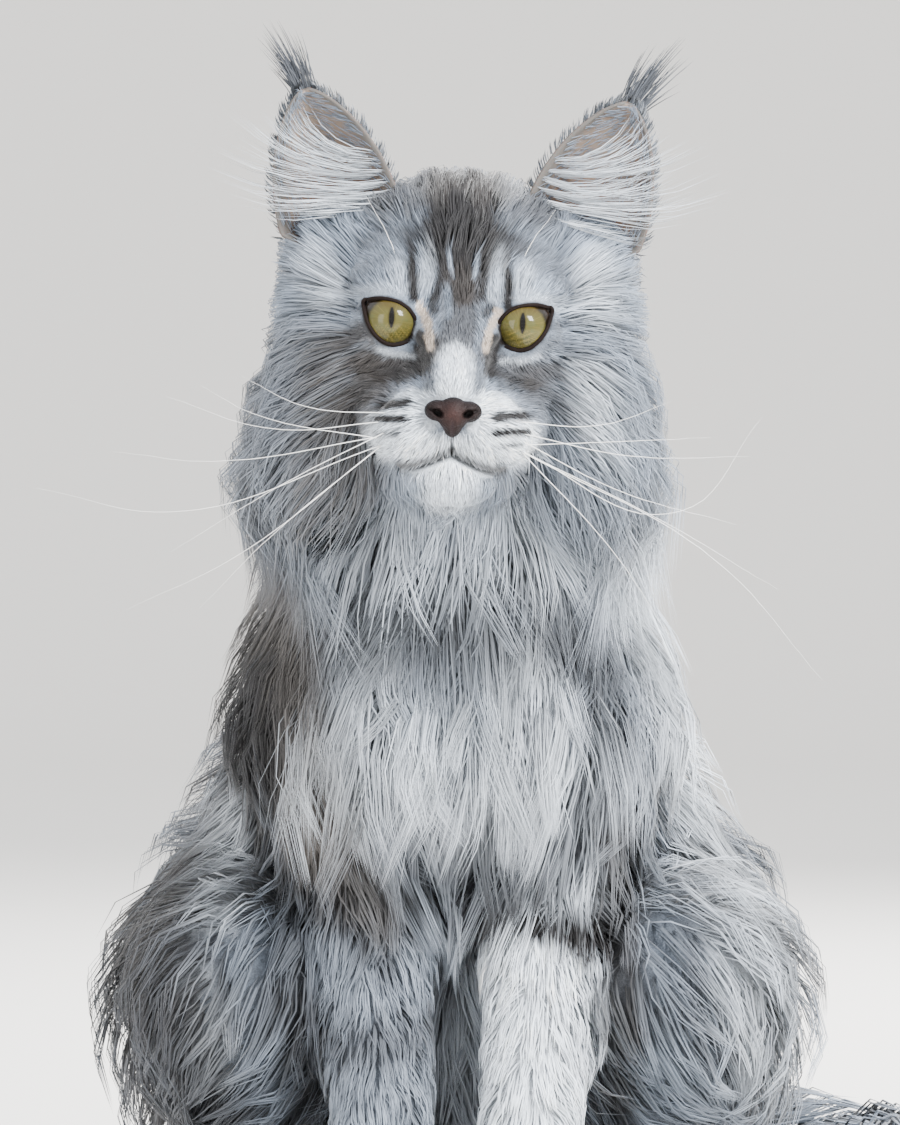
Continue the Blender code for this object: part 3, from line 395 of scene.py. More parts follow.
def furColour(points):
    height, outward, depth, share = bodyField(points)
    colour = np.repeat(furTones["silver"][None], len(points), 0)
    x, y, z = points.T
    part = {name: share[:, regions.index(name)] for name in regions}
    ripple = mottle(points, 26, 3)
    fine = mottle(points, 9, 5)
    # trunk: grey flanks with the darker swirls of a classic tabby, a dark line down the spine
    trunk = part["torso"] + part["haunch"]
    colour = paint(colour, (0.55 + 0.2 * ripple) * trunk * smooth(-70, 0, y), "slate")
    ring = np.hypot((y - 66) / 1.25, z - 158) + 4 * ripple
    swirl = np.exp(-((ring - 34) / 8) ** 2) + np.exp(-((ring - 4) / 9) ** 2)
    swirl += np.exp(-((ring - 66) / 9) ** 2)
    colour = paint(colour, 0.95 * swirl * trunk * smooth(25, 60, np.abs(x)) * smooth(-50, 0, y), "dark")
    spine = smooth(24, 12, np.abs(x)) * smooth(-0.1, 0.3, outward[:, 1]) * (trunk + part["neck"])
    colour = paint(colour, 1.0 * spine * smooth(40, 90, y + (z - 200) * 0.4), "dark")
    colour = paint(colour, 0.35 * trunk * smooth(0.2, 0.9, ripple) * smooth(-30, 40, y), "white")
    haunch = part["haunch"]
    bars = np.sin((y * 0.5 - z * 0.9) / 11 + 1.2 * ripple)
    colour = paint(colour, 0.5 * haunch * smooth(0.1, 0.9, bars), "char")
    colour = paint(colour, 0.4 * haunch * smooth(0.3, 1.0, -bars), "blue")
    # chest and ruff: pale in front, in bands down the tiers, and greyer to the sides; the grey bands under each tier
    # are painted shade
    front = smooth(-0.25, -0.8, outward[:, 1])
    chest = (part["torso"] + part["neck"]) * front
    tier = 0.5 + 0.5 * np.sin(z / 13 + 1.3 * ripple + 0.4 * fine)
    colour = paint(colour, (0.14 + 0.3 * tier) * chest * smooth(80, 40, np.abs(x - 8)), "white")
    neck = part["neck"]
    colour = paint(colour, 0.5 * neck * (1 - front) * (0.6 + 0.4 * ripple), "slate")
    # painted shade: a grey band across the chest under the collar's tier of locks
    collar = np.exp(-((z - 243 + 0.08 * np.abs(x) + 5 * ripple) / 15) ** 2)
    colour = paint(colour, 0.8 * collar * chest * (0.6 + 0.4 * tier), "slate")
    # painted shade: a grey band low on the chest, under the mane's tier of locks
    low = np.exp(-((z - 172 + 6 * ripple) / 16) ** 2) * chest
    colour = paint(colour, 0.65 * low, "slate")
    colour = paint(colour, 0.3 * part["torso"] * smooth(165, 130, z) * smooth(-0.2, -0.8, outward[:, 1]), "slate")
    # legs: pale with broken bars; the cat's right foreleg (-x) stays greyer and more barred, partly its own colour and
    # partly painted shade away from the key light
    leg = part["foreleg"] + part["forepaw"]
    colour = paint(colour, (0.08 + 0.86 * smooth(-10, 10, x)) * leg, "white")
    legBars = smooth(0.1, 0.8, np.sin(z / 7.5 + 0.6 + 0.8 * ripple)) * smooth(40, 70, z)
    colour = paint(colour, 0.8 * leg * legBars * (0.55 + 0.45 * np.sign(x + 1e-6) * -1), "slate")
    ahead = smooth(92, 55, y)
    for line, half, soft, tone, strength in bodyMarks:
        away = lineDistance(x, z, line) + 4 * ripple + 1.5 * fine
        mark = strength * ahead * smooth(half + soft / 2, half - soft / 2, away)
        colour = paint(colour, mark * (trunk + neck + part["foreleg"]), tone)
    # painted shade in the creases between the toes
    toeCreaseShade = np.maximum(part["forepaw"], part["hindFoot"]) * smooth(24, 14, z)
    middle = np.where(part["forepaw"] > part["hindFoot"], 25, 74)
    between = np.minimum(np.abs(np.abs(x) - middle), np.abs(np.abs(np.abs(x) - middle) - 9.2))
    colour = paint(colour, 0.8 * toeCreaseShade * smooth(2.2, 0.6, between + 0.3 * fine), "char")
    # painted shade: the cat's right foreleg (-x), away from the key light, painted darker
    colour = paint(colour, 0.4 * leg * smooth(6, -10, x), "slate")
    foot = part["hindFoot"]
    colour = paint(colour, 0.3 * foot, "white")
    # tail: dark rings, and a dark end
    if part["tail"].max() > 0.01:
        along = tailPlace(points)
        rings = smooth(-0.1, 0.6, np.sin(along / 44 * 6.28 + 0.6 * fine))
        dark = np.maximum(rings, smooth(400, 440, along))
        colour = paint(colour, 0.85 * part["tail"] * dark, "dark")
    # face
    local = toHead(points)
    lx, ly, lz = local.T
    face = part["head"] * smooth(56, 34, ly)
    colour = paint(colour, part["head"] * smooth(25, 45, ly) * (0.5 + 0.3 * fine), "slate")
    cheek = part["head"] * smooth(70, 50, ly) * smooth(16, 30, np.abs(lx)) * smooth(4, -8, lz)
    colour = paint(colour, cheek * (0.66 + 0.2 * fine) * (1 - 0.75 * smooth(10, 40, lx)), "brown")
    wobble = 0.8 * mottle(local, 7, 9)
    for marks in (faceMarks, paleMarks, padSpots):
        for line, half, soft, tone, strength in marks:
            away = lineDistance(lx, lz, line) + wobble * min(1, half / 3)
            shown = face * (smooth(4, -2, ly) if tone == "cream" else 1)
            colour = paint(colour, strength * shown * smooth(half + soft / 2, half - soft / 2, away), tone)
    lips, philtrum = mouthDistance(local)
    front = face * smooth(10, 0, ly)
    # dark along the lips and down the philtrum: the lips' own dark skin, with painted shade in the grooves of the mouth
    colour = paint(colour, 0.85 * front * smooth(2.6, 0.6, lips), "char")
    colour = paint(colour, 0.7 * front * smooth(1.3, 0.2, philtrum), "char")
    colour = paint(colour, 0.5 * part["head"] * smooth(52, 62, np.abs(lx)) * smooth(20, 10, lz), "silver")
    return colour


def tailPlace(points):
    line = np.array(tail["line"], float)
    steps = np.linalg.norm(np.diff(line, axis=0), axis=1)
    before = np.concatenate([[0], np.cumsum(steps)])
    best, along = np.full(len(points), 1e9), np.zeros(len(points))
    for index in range(len(steps)):
        axis = line[index + 1] - line[index]
        share = np.clip((points - line[index]) @ axis / steps[index] ** 2, 0, 1)
        away = np.linalg.norm(points - line[index] - share[:, None] * axis, axis=1)
        nearer = away < best
        along = np.where(nearer, before[index] + share * steps[index], along)
        best = np.minimum(best, away)
    return along


# Materials
def addNode(tree, kind, settings=None, links=None):
    made = tree.nodes.new(kind)
    for key, value in (settings or {}).items():
        if key in made.inputs:
            made.inputs[key].default_value = value
        else:
            setattr(made, key, value)
    for key, source in (links or {}).items():
        tree.links.new(source, made.inputs[key])
    return made


def newMaterial(name, settings):
    made = bpy.data.materials.new(name)
    made.use_nodes = True
    shader = made.node_tree.nodes["Principled BSDF"]
    for key, value in settings.items():
        shader.inputs[key].default_value = value
    return made, made.node_tree, shader


# Guard hair lying in locks: silky, so it keeps a soft broad sheen. Single hairs are 0.05 mm across,
# too fine to show, so the streaks are drawn as strands of about 0.3 mm.
def guardHair():
    made, tree, shader = newMaterial("guardHair", {
        "Roughness": 0.62, "Specular IOR Level": 0.28, "Sheen Weight": 0.12, "Sheen Roughness": 0.5,
    })
    tone = addNode(tree, "ShaderNodeAttribute", {"attribute_name": "coatTone"})
    strand = addNode(tree, "ShaderNodeAttribute", {"attribute_name": "strand"})
    streak = addNode(tree, "ShaderNodeTexNoise", {"Scale": 1.0, "Detail": 2.0, "Roughness": 0.6},
                     {"Vector": strand.outputs["Vector"]})
    shade = addNode(tree, "ShaderNodeMapRange", {"From Min": 0.3, "From Max": 0.7, "To Min": 0.72,
                                                 "To Max": 1.18}, {"Value": streak.outputs["Fac"]})
    mixed = addNode(tree, "ShaderNodeVectorMath", {"operation": "SCALE"})
    tree.links.new(tone.outputs["Color"], mixed.inputs[0])
    tree.links.new(shade.outputs["Result"], mixed.inputs["Scale"])
    tree.links.new(mixed.outputs["Vector"], shader.inputs["Base Color"])
    bump = addNode(tree, "ShaderNodeBump", {"Strength": 0.35, "Distance": 0.0003},
                   {"Height": streak.outputs["Fac"]})
    tree.links.new(bump.outputs["Normal"], shader.inputs["Normal"])
    return made


# Skin under dense short fur: the coat's colours, which makeSkin paints darker as painted shade under the fur, with a
# fine nap of 0.5 mm
def nappedSkin():
    made, tree, shader = newMaterial("nappedSkin", {
        "Roughness": 0.85, "Specular IOR Level": 0.15, "Sheen Weight": 0.1,
    })
    tone = addNode(tree, "ShaderNodeAttribute", {"attribute_name": "coatTone"})
    place = addNode(tree, "ShaderNodeTexCoord")
    nap = addNode(tree, "ShaderNodeTexNoise", {"Scale": 1400.0, "Detail": 3.0},
                  {"Vector": place.outputs["Object"]})
    shade = addNode(tree, "ShaderNodeMapRange", {"From Min": 0.3, "From Max": 0.7, "To Min": 0.55,
                                                 "To Max": 1.0}, {"Value": nap.outputs["Fac"]})
    mixed = addNode(tree, "ShaderNodeVectorMath", {"operation": "SCALE"})
    tree.links.new(tone.outputs["Color"], mixed.inputs[0])
    tree.links.new(shade.outputs["Result"], mixed.inputs["Scale"])
    tree.links.new(mixed.outputs["Vector"], shader.inputs["Base Color"])
    bump = addNode(tree, "ShaderNodeBump", {"Strength": 0.5, "Distance": 0.0004},
                   {"Height": nap.outputs["Fac"]})
    tree.links.new(bump.outputs["Normal"], shader.inputs["Normal"])
    return made


coatMaterial = guardHair()
skinMaterial = nappedSkin()


def toWorld(points):
    return np.asarray(points) * mm + figureShift


def linkObject(name, mesh):
    made = bpy.data.objects.new(name, mesh)
    bpy.context.scene.collection.objects.link(made)
    return made


def settle(obj):
    graph = bpy.context.evaluated_depsgraph_get()
    mesh = bpy.data.meshes.new_from_object(obj.evaluated_get(graph))
    obj.modifiers.clear()
    obj.data = mesh
    return obj


def setColour(mesh, name, values):
    layer = mesh.attributes.new(name, "FLOAT_COLOR", "POINT")
    packed = np.ones((len(values), 4), np.float32)
    packed[:, :3] = values
    layer.data.foreach_set("color", packed.ravel())

# Skin
skinSettings = {"voxel": 3.4, "lidGap": 1.4, "lid": 0.5, "shade": 0.8}


def meshOf(name, points, triangles):
    mesh = bpy.data.meshes.new(name)
    mesh.vertices.add(len(points))
    mesh.vertices.foreach_set("co", np.asarray(points, np.float32).ravel())
    mesh.loops.add(triangles.size)
    mesh.loops.foreach_set("vertex_index", triangles.astype(np.int32).ravel())
    mesh.polygons.add(len(triangles))
    mesh.polygons.foreach_set("loop_start", np.arange(0, triangles.size, 3, dtype=np.int32))
    mesh.update(calc_edges=True)
    return mesh


def coordinates(mesh):
    flat = np.zeros(len(mesh.vertices) * 3, np.float32)
    mesh.vertices.foreach_get("co", flat)
    return flat.reshape(-1, 3).astype(float)


def trianglesOf(mesh):
    flat = np.zeros(len(mesh.loops), np.int32)
    mesh.loops.foreach_get("vertex_index", flat)
    return flat.reshape(-1, 3)


# A ball of rings about its own z axis: rows + 1 rings of columns points, with the two poles
def ballMesh(columns, rows):
    turns = np.arange(columns) / columns * 2 * math.pi
    tilts = np.arange(1, rows) / rows * math.pi
    rings = np.stack([
        np.outer(np.sin(tilts), np.cos(turns)),
        np.outer(np.sin(tilts), np.sin(turns)),
        np.outer(np.cos(tilts), np.ones(columns)),
    ], 2).reshape(-1, 3)
    points = np.concatenate([rings, [(0, 0, 1), (0, 0, -1)]])
    top, bottom = len(rings), len(rings) + 1
    triangles = []
    for column in range(columns):
        after = (column + 1) % columns
        triangles.append((top, column, after))
        last = (rows - 2) * columns
        triangles.append((bottom, last + after, last + column))
        for row in range(rows - 2):
            a, b = row * columns + column, row * columns + after
            triangles += [(a, a + columns, b + columns), (a, b + columns, b)]
    return points, np.array(triangles)


def gather(parts):
    points, triangles, before = [], [], 0
    for partPoints, partTriangles in parts:
        points.append(partPoints)
        triangles.append(partTriangles + before)
        before += len(partPoints)
    return np.concatenate(points), np.concatenate(triangles)


# One closed surface round a heap of overlapping shapes
def fused(name, parts, voxel):
    body = linkObject(name, meshOf(name, *gather(parts)))
    remesh = body.modifiers.new("fuse", "REMESH")
    remesh.mode = "VOXEL"
    remesh.voxel_size = voxel
    return settle(body)


def bareBody():
    ballPoints, ballTriangles = ballMesh(32, 18)
    parts = [(ballPoints * entry["size"] @ entry["turn"].T + entry["at"], ballTriangles) for entry in balls]
    for entry in limbs:
        count = max(2, int(np.linalg.norm(entry["b"] - entry["a"]) / 5))
        for share in np.linspace(0, 1, count + 1):
            centre = entry["a"] + (entry["b"] - entry["a"]) * share
            radius = entry["ra"] + (entry["rb"] - entry["ra"]) * share
            parts.append((ballPoints * radius + centre, ballTriangles))
    return fused("skin", parts, skinSettings["voxel"])


def refine(mesh, wanted):
    bm = bmesh.new()
    bm.from_mesh(mesh)
    places = np.array([face.calc_center_median() for face in bm.faces])
    chosen = wanted(places)
    edges = {edge for face, take in zip(bm.faces, chosen) if take for edge in face.edges}
    bmesh.ops.subdivide_edges(bm, edges=list(edges), cuts=1, use_grid_fill=True)
    bm.to_mesh(mesh)
    bm.free()


def onFace(places):
    local = toHead(places)
    return (local[:, 1] < 22) & (local[:, 2] > -66) & (local[:, 2] < 40) & (np.abs(local[:, 0]) < 44)


def onInnerFace(places):
    local = toHead(places)
    return (local[:, 1] < 12) & (local[:, 2] > -60) & (local[:, 2] < 14) & (np.abs(local[:, 0]) < 37)


def onPaws(places):
    return (places[:, 2] < 42) & (places[:, 1] < -38)


def makeSkin():
    body = bareBody()
    for wanted in (onFace, onInnerFace, onPaws):
        refine(body.data, wanted)
    bm = bmesh.new()
    bm.from_mesh(body.data)
    bmesh.ops.triangulate(bm, faces=bm.faces)
    bm.to_mesh(body.data)
    bm.free()
    points = coordinates(body.data)
    for turn in range(3):
        height, outward = bodyField(points)[:2]
        points = points - outward * np.clip(height, -3, 3)[:, None]
    local = toHead(points)
    front = local[:, 1] < 8
    lips, philtrum = mouthDistance(local)
    dent = mouth["depth"] * np.exp(-(lips / 1.7) ** 2) + mouth["fine"] * np.exp(-(philtrum / 0.9) ** 2)
    local[:, 1] += np.where(local[:, 1] < 0, dent, 0)
    # the lids thin out towards their edge, and the opening between them sinks behind the eyeball
    lidShade = np.zeros(len(local))
    for side in sides.values():
        away = lidDistance(local, side)
        centre = np.array([eye["spacing"] * side, eye["depth"], 0])
        reach = np.linalg.norm(local - centre, axis=1)
        thin = eye["radius"] + skinSettings["lid"]
        near = front & (away < 5)
        target = thin + (np.maximum(reach, thin) - thin) * smooth(-0.5, 5, away)
        target = np.where(away < 0, eye["radius"] - skinSettings["lidGap"], target)
        out = unit(local - centre)
        local = np.where(near[:, None], centre + out * target[:, None], local)
        lidShade = np.maximum(lidShade, smooth(1.8, 0.8, away) * front)
    points = fromHead(local)
    points[:, 2] = np.maximum(points[:, 2], 0)
    body.data.vertices.foreach_set("co", toWorld(points).astype(np.float32).ravel())
    # the skin takes the fur's colour times skinSettings["shade"]: painted shade under the coat
    colour = paint(furColour(points) * skinSettings["shade"], lidShade, "lid")
    setColour(body.data, "coatTone", colour)
    body.data.shade_smooth()
    body.data.materials.clear()
    body.data.materials.append(skinMaterial)
    body.data.name = "skin"
    return body, points


skin, skinPoints = makeSkin()
skinTriangles = trianglesOf(skin.data)
skinTree = BVHTree.FromPolygons(skinPoints.tolist(), skinTriangles.tolist())
print("skin:", len(skinTriangles), "triangles")


# Foremost place of the skin at x, z on the head's own axes
def skinFront(x, z, lift=0.0):
    start, ahead = fromHead(np.array([[x, -90, z], [x, 0, z]]))
    hit = skinTree.ray_cast(Vector(start), Vector(ahead - start).normalized())[0]
    place = toHead(np.array([hit]))[0]
    return place + (0, -lift, 0)


# Tubes that taper along a line: used for the lids' rims and the claws
def tube(line, radii, around=8, closed=False):
    line = np.asarray(line, float)
    radii = np.asarray(radii, float)
    count = len(line)
    if closed:
        ahead = unit(np.roll(line, -1, 0) - np.roll(line, 1, 0))
    else:
        ahead = unit(np.gradient(line, axis=0))
    side = unit(np.cross(ahead, np.array([0.13, 0.97, 0.21])))
    over = np.cross(ahead, side)
    turns = np.arange(around) / around * 2 * math.pi
    rings = line[:, None] + radii[:, None, None] * (
        np.cos(turns)[None, :, None] * side[:, None] + np.sin(turns)[None, :, None] * over[:, None])
    points = rings.reshape(-1, 3)
    triangles = []
    for row in range(count if closed else count - 1):
        for column in range(around):
            a, b = row * around + column, row * around + (column + 1) % around
            c, d = (a + around) % (count * around), (b + around) % (count * around)
            triangles += [(a, b, d), (a, d, c)]
    if not closed:
        points = np.concatenate([points, line[:1], line[-1:]])
        first, last = count * around, count * around + 1
        for column in range(around):
            after = (column + 1) % around
            triangles.append((first, after, column))
            end = (count - 1) * around
            triangles.append((last, end + column, end + after))
    return points, np.array(triangles)


# Eyes: a ball with a clear swelling in front, gold-green with a narrow upright pupil
eyeSettings = {"columns": 160, "rows": 90, "crowd": 1.6, "swell": 0.9, "iris": 8.7, "pupil": (0.9, 3.8), "pupilUp": 1.1}
irisTones = {
    "top": srgb("3A2E0E"), "middle": srgb("4B4824"), "grey": srgb("43492B"), "gold": srgb("6E6130"),
    "fleck": srgb("241E0A"), "pupil": srgb("030202"), "edge": srgb("0D0805"), "white": srgb("1C140E"),
}


def irisColour(x, z, seed):
    turn = np.random.default_rng(seed)
    reach = np.hypot(x, z)
    angle = np.arctan2(z, x)
    fibres = np.zeros(len(x))
    for count in (23, 41, 67, 97):
        fibres += np.sin(angle * count + turn.uniform(0, 6.28) + reach * turn.uniform(-0.8, 0.8))
    fibres /= 4
    spread = mottle(np.stack([x, z, x * 0], 1), 7, seed)
    fleck = mottle(np.stack([x, z, x * 0], 1), 1.5, seed + 1)
    colour = np.repeat(irisTones["middle"][None], len(x), 0)

    def lay(tone, mask):
        nonlocal colour
        colour = colour + (irisTones[tone] - colour) * np.clip(mask, 0, 1)[:, None]

    # the top of the iris painted darker: painted shadow of the upper lid
    lay("top", 0.85 * smooth(1.5, 7.5, z + 0.5 * spread))
    lay("grey", 0.6 * smooth(0.1, 0.8, spread) * smooth(5, 0, z))
    lay("gold", 0.7 * smooth(0.15, 0.6, fleck) * smooth(0, -3, z))
    lay("gold", 0.35 * smooth(0.2, 0.9, fibres))
    lay("top", 0.4 * smooth(-0.1, -0.9, fibres))
    lay("fleck", 0.75 * smooth(0.25, 0.6, -fleck) * smooth(-2.5, -5.5, z) * smooth(8, 6, reach))
    radius = eyeSettings["iris"]
    lay("edge", smooth(radius - 1.5, radius - 0.1, reach + 0.25 * fibres) * 0.95)
    lay("white", smooth(radius, radius + 0.8, reach))
    half, tall = eyeSettings["pupil"]
    up = np.clip(np.abs(z - eyeSettings["pupilUp"]) / tall, 0, 1)
    slit = half * (1 - up ** 2) ** 0.8
    lay("fleck", 0.6 * smooth(0.8, 0.1, np.abs(x) - slit) * (up < 1))
    lay("pupil", smooth(0.18, -0.1, np.abs(x) - slit) * (up < 1))
    return colour


def wetEye():
    made, tree, shader = newMaterial("wetEye", {
        "Roughness": 0.4, "Coat Weight": 0.7, "Coat Roughness": 0.03, "Coat IOR": 1.376,
        "Specular IOR Level": 0.05,
    })
    tone = addNode(tree, "ShaderNodeAttribute", {"attribute_name": "irisTone"})
    tree.links.new(tone.outputs["Color"], shader.inputs["Base Color"])
    return made


# Bare skin of the lids' edges, always a little wet
def lidSkin():
    return newMaterial("lidSkin", {
        "Base Color": (*srgb("150E0C"), 1), "Roughness": 0.7, "Specular IOR Level": 0.08,
    })[0]


eyeMaterial = wetEye()
rimMaterial = lidSkin()


def finishPiece(name, points, triangles, material, smoothFaces=True):
    made = linkObject(name, meshOf(name, toWorld(points), triangles))
    made.data.materials.append(material)
    if smoothFaces:
        made.data.shade_smooth()
    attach(made, "root")
    return made


for sideName, side in sides.items():
    points, triangles = ballMesh(eyeSettings["columns"], eyeSettings["rows"])
    points = points[:, [0, 2, 1]] * (1, -1, 1)
    tilt = np.arccos(np.clip(-points[:, 1], -1, 1))
    # more rings in front, where the iris is painted
    closer = math.pi * (tilt / math.pi) ** eyeSettings["crowd"]
    points = points * (np.sin(closer) / np.maximum(np.sin(tilt), 1e-6))[:, None]
    points[:, 1] = -np.cos(closer)
    tilt = closer
    bulge = 1 + eyeSettings["swell"] / eye["radius"] * smooth(0.95, 0.25, tilt)
    ballPoints = points * bulge[:, None] * eye["radius"]
    centre = np.array([eye["spacing"] * side, eye["depth"], 0])
    globe = finishPiece("eye_globe_" + sideName, fromHead(ballPoints + centre), triangles, eyeMaterial)
    setColour(globe.data, "irisTone", irisColour(ballPoints[:, 0], ballPoints[:, 2], 40 + side))
    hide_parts("eye_" + sideName)
    # the rim follows the edge of the lids, thickest at the corners
    corners = np.array(lidLine)
    count = len(corners)
    at = np.arange(count * 8) / 8
    low, part = at.astype(int), (at % 1)[:, None]
    knots = [corners[(low + shift) % count] for shift in (-1, 0, 1, 2)]
    flat = knots[1] + 0.5 * part * (knots[2] - knots[0] + part * (
        2 * knots[0] - 5 * knots[1] + 4 * knots[2] - knots[3] + part * (
            3 * knots[1] - knots[0] - 3 * knots[2] + knots[3])))
    x, z = flat.T * 0.94
    y = -np.sqrt(np.maximum((eye["radius"] + 0.55) ** 2 - x ** 2 - z ** 2, 3))
    rimLine = np.stack([x * side, y, z], 1) + centre
    outerCorner = np.exp(-np.hypot(x - 10.9, z - 6.9) / 4)
    innerCorner = np.exp(-np.hypot(x + 10, z + 4.5) / 5)
    thick = 0.62 + 0.3 * outerCorner + 0.5 * innerCorner + 0.16 * smooth(2, -6, z)
    rim = finishPiece("lid_rim_" + sideName, *tube(fromHead(rimLine), thick, closed=True), rimMaterial)
print("eyes: 2")

# Nose leather: a pebbled pad with two comma nostrils, darker round its edge
nose = {"nostril": (5.2, -32.4), "size": (1.9, 1.15), "roll": 28, "depth": 3.2}


def noseLeather():
    made, tree, shader = newMaterial("noseLeather", {"Roughness": 0.6, "Specular IOR Level": 0.15})
    tone = addNode(tree, "ShaderNodeAttribute", {"attribute_name": "leatherTone"})
    place = addNode(tree, "ShaderNodeTexCoord")
    # pebbles about 0.7 mm across
    pebbles = addNode(tree, "ShaderNodeTexVoronoi", {"Scale": 1400.0},
                      {"Vector": place.outputs["Object"]})
    bump = addNode(tree, "ShaderNodeBump", {"Strength": 0.5, "Distance": 0.0004, "invert": True},
                   {"Height": pebbles.outputs["Distance"]})
    tree.links.new(tone.outputs["Color"], shader.inputs["Base Color"])
    tree.links.new(bump.outputs["Normal"], shader.inputs["Normal"])
    return made


def makeNose():
    ballPoints, ballTriangles = ballMesh(40, 24)
    shapes = [
        ((0, -35, -32.5), (5.5, 6, 6.0)), ((0, -34, -36), (3.4, 4.5, 4.6)),
        ((5.2, -34, -31.5), (4.8, 5.4, 3.7)), ((-5.2, -34, -31.5), (4.8, 5.4, 3.7)),
    ]
    parts = [(ballPoints * size + at, ballTriangles) for at, size in shapes]
    made = fused("nose_pad", parts, 0.5)
    bm = bmesh.new()
    bm.from_mesh(made.data)
    for turn in range(3):
        bmesh.ops.smooth_vert(bm, verts=bm.verts, factor=0.5, use_axis_x=True, use_axis_y=True,
                              use_axis_z=True)
    bmesh.ops.triangulate(bm, faces=bm.faces)
    bm.to_mesh(made.data)
    bm.free()
    local = coordinates(made.data)
    turned = math.radians(nose["roll"])
    hole = np.zeros(len(local))
    for side in sides.values():
        x, z = local[:, 0] * side - nose["nostril"][0], local[:, 2] - nose["nostril"][1]
        along = (x * math.cos(turned) + z * math.sin(turned)) / nose["size"][0]
        over = (-x * math.sin(turned) + z * math.cos(turned)) / nose["size"][1]
        tail = np.exp(-((along - 1.3) / 0.8) ** 2 - ((over + 0.2) / 0.5) ** 2)
        hole = np.maximum(hole, np.maximum(smooth(1.25, 0.7, np.hypot(along, over)), 0.6 * tail))
    cleft = np.exp(-(local[:, 0] / 0.7) ** 2) * smooth(-33, -37, local[:, 2])
    front = local[:, 1] < -34
    local[:, 1] += np.where(front, nose["depth"] * hole + 0.8 * cleft, 0)
    x, z = np.abs(local[:, 0]), local[:, 2]
    edge = np.maximum(smooth(-28.8, -27, z), smooth(7.6, 9.8, x + 0.2 * (z + 30)))
    edge = np.maximum(edge, smooth(0.5, 2.5, x - 8.6 - (z + 33) * 0.85) * smooth(-32, -35, z))
    edge = np.maximum(edge, smooth(-38, -40.5, z))
    middle = np.exp(-(local[:, 0] / 4) ** 2 - ((z + 33) / 4) ** 2)
    colour = srgb("150D0D") + (srgb("2A1A18") - srgb("150D0D")) * middle[:, None]
    colour = colour * (1 + 0.10 * mottle(local, 5, 21))[:, None]
    # the nostrils are painted nearly black: painted shade inside their openings
    for mask, tone in ((0.9 * edge, "100B0C"), (hole, "0B0707"), (0.6 * cleft, "2B2023")):
        colour = colour + (srgb(tone) - colour) * np.clip(mask, 0, 1)[:, None]
    made.data.vertices.foreach_set("co", toWorld(fromHead(local)).astype(np.float32).ravel())
    setColour(made.data, "leatherTone", colour)
    made.data.materials.clear()
    made.data.materials.append(noseLeather())
    made.data.shade_smooth()
    made.data.name = "nose_pad"
    return made


nosePad = makeNose()
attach(nosePad, "root")
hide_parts("nose")
print("nose:", len(nosePad.data.polygons), "triangles")

# Which way the hair lies at a place of the skin
lie = {
    "nose": (0, -32, -30), "nape": 0.6, "ruff": (0, -70, 335), "ruffOut": 0.12,
    "flank": (-20, 120, 0.5), "tailFlare": 0.2,
}


def lieAt(points, outward, share):
    local = toHead(points)
    away = unit(local - lie["nose"])
    lx, ly, lz = local.T
    # cheeks turn down, the brow sweeps up and out, the back of the head falls to the nape
    away[:, 2] -= 1.1 * smooth(22, 42, np.abs(lx)) * smooth(24, -8, lz)
    # and it parts round the eyes
    for side in sides.values():
        off = local - (eye["spacing"] * side, eye["depth"], 0)
        near = 1.6 * smooth(21, 12, np.hypot(off[:, 0], off[:, 2])) * smooth(12, 4, ly)
        away += near[:, None] * unit(off * (1, 0.3, 1))
    away[:, 2] -= lie["nape"] * smooth(36, 70, ly)
    away[:, 0] += 0.35 * np.sign(lx) * smooth(0, 22, np.abs(lx)) * smooth(0, 20, lz)
    away[:, 2] -= 1.4 * smooth(-42, -52, lz) * smooth(26, 12, np.abs(lx))
    headLie = away @ headTurn.T
    ruff = points - lie["ruff"]
    ruff[:, 1] /= 2
    spread = lie["ruffOut"] + 0.38 * smooth(285, 330, points[:, 2:])
    neckLie = unit(ruff) * spread + (0, 0, -1)
    start, span, most = lie["flank"]
    back = np.clip((points[:, 1] - start) / span, 0, most)
    down = np.stack([back * 0, back, -np.ones(len(back))], 1)
    aside = 0.5 * np.sign(points[:, 0]) * smooth(30, 60, np.abs(points[:, 0]))
    over = np.stack([aside, back - 0.3 * smooth(60, 0, points[:, 1]), -np.ones(len(back))], 1)
    forward = np.array([0, -1, -0.35])
    line = np.array(tail["line"], float)
    nearest = np.linalg.norm(points[:, None] - (line[:-1] + line[1:]) / 2, axis=2).argmin(1)
    tailLie = unit(np.diff(line, axis=0))[nearest] + outward * lie["tailFlare"]
    # past its last bone the tail's hair closes to a point
    beyond = smooth(12, -6, np.linalg.norm(points - line[-1], axis=1))
    tailLie += beyond[:, None] * 1.5 * unit(line[-1] - line[-2])
    ways = {"head": headLie, "neck": neckLie, "torso": down, "haunch": over, "foreleg": down,
            "forepaw": forward, "hindFoot": forward, "tail": tailLie}
    total = np.zeros_like(points)
    for name in regions:
        total += share[:, regions.index(name), None] * (ways[name] + np.zeros_like(points))
    inwards = -0.34 * np.sign(points[:, 0]) * smooth(6, 34, np.abs(points[:, 0])) * smooth(285, 245, points[:, 2])
    inwards *= smooth(110, 150, points[:, 2]) * smooth(-0.2, -0.6, outward[:, 1]) * share[:, regions.index("torso")]
    total[:, 0] += inwards
    swirl = np.stack([mottle(points, 60, seed) for seed in (31, 32, 33)], 1) * 0.16
    total = total + swirl * (1 - share[:, regions.index("head"), None])
    total = total - outward * (total * outward).sum(1)[:, None]
    return unit(total)


# Blades: three-cornered, closed and tapering, rings and then a point
tapers = {2: (0.85, 0.9), 3: (0.8, 1.0, 0.7), 4: (0.75, 1.0, 0.85, 0.5)}
stepShares = {2: (0.4, 0.6), 3: (0.24, 0.36, 0.4), 4: (0.16, 0.26, 0.29, 0.29)}


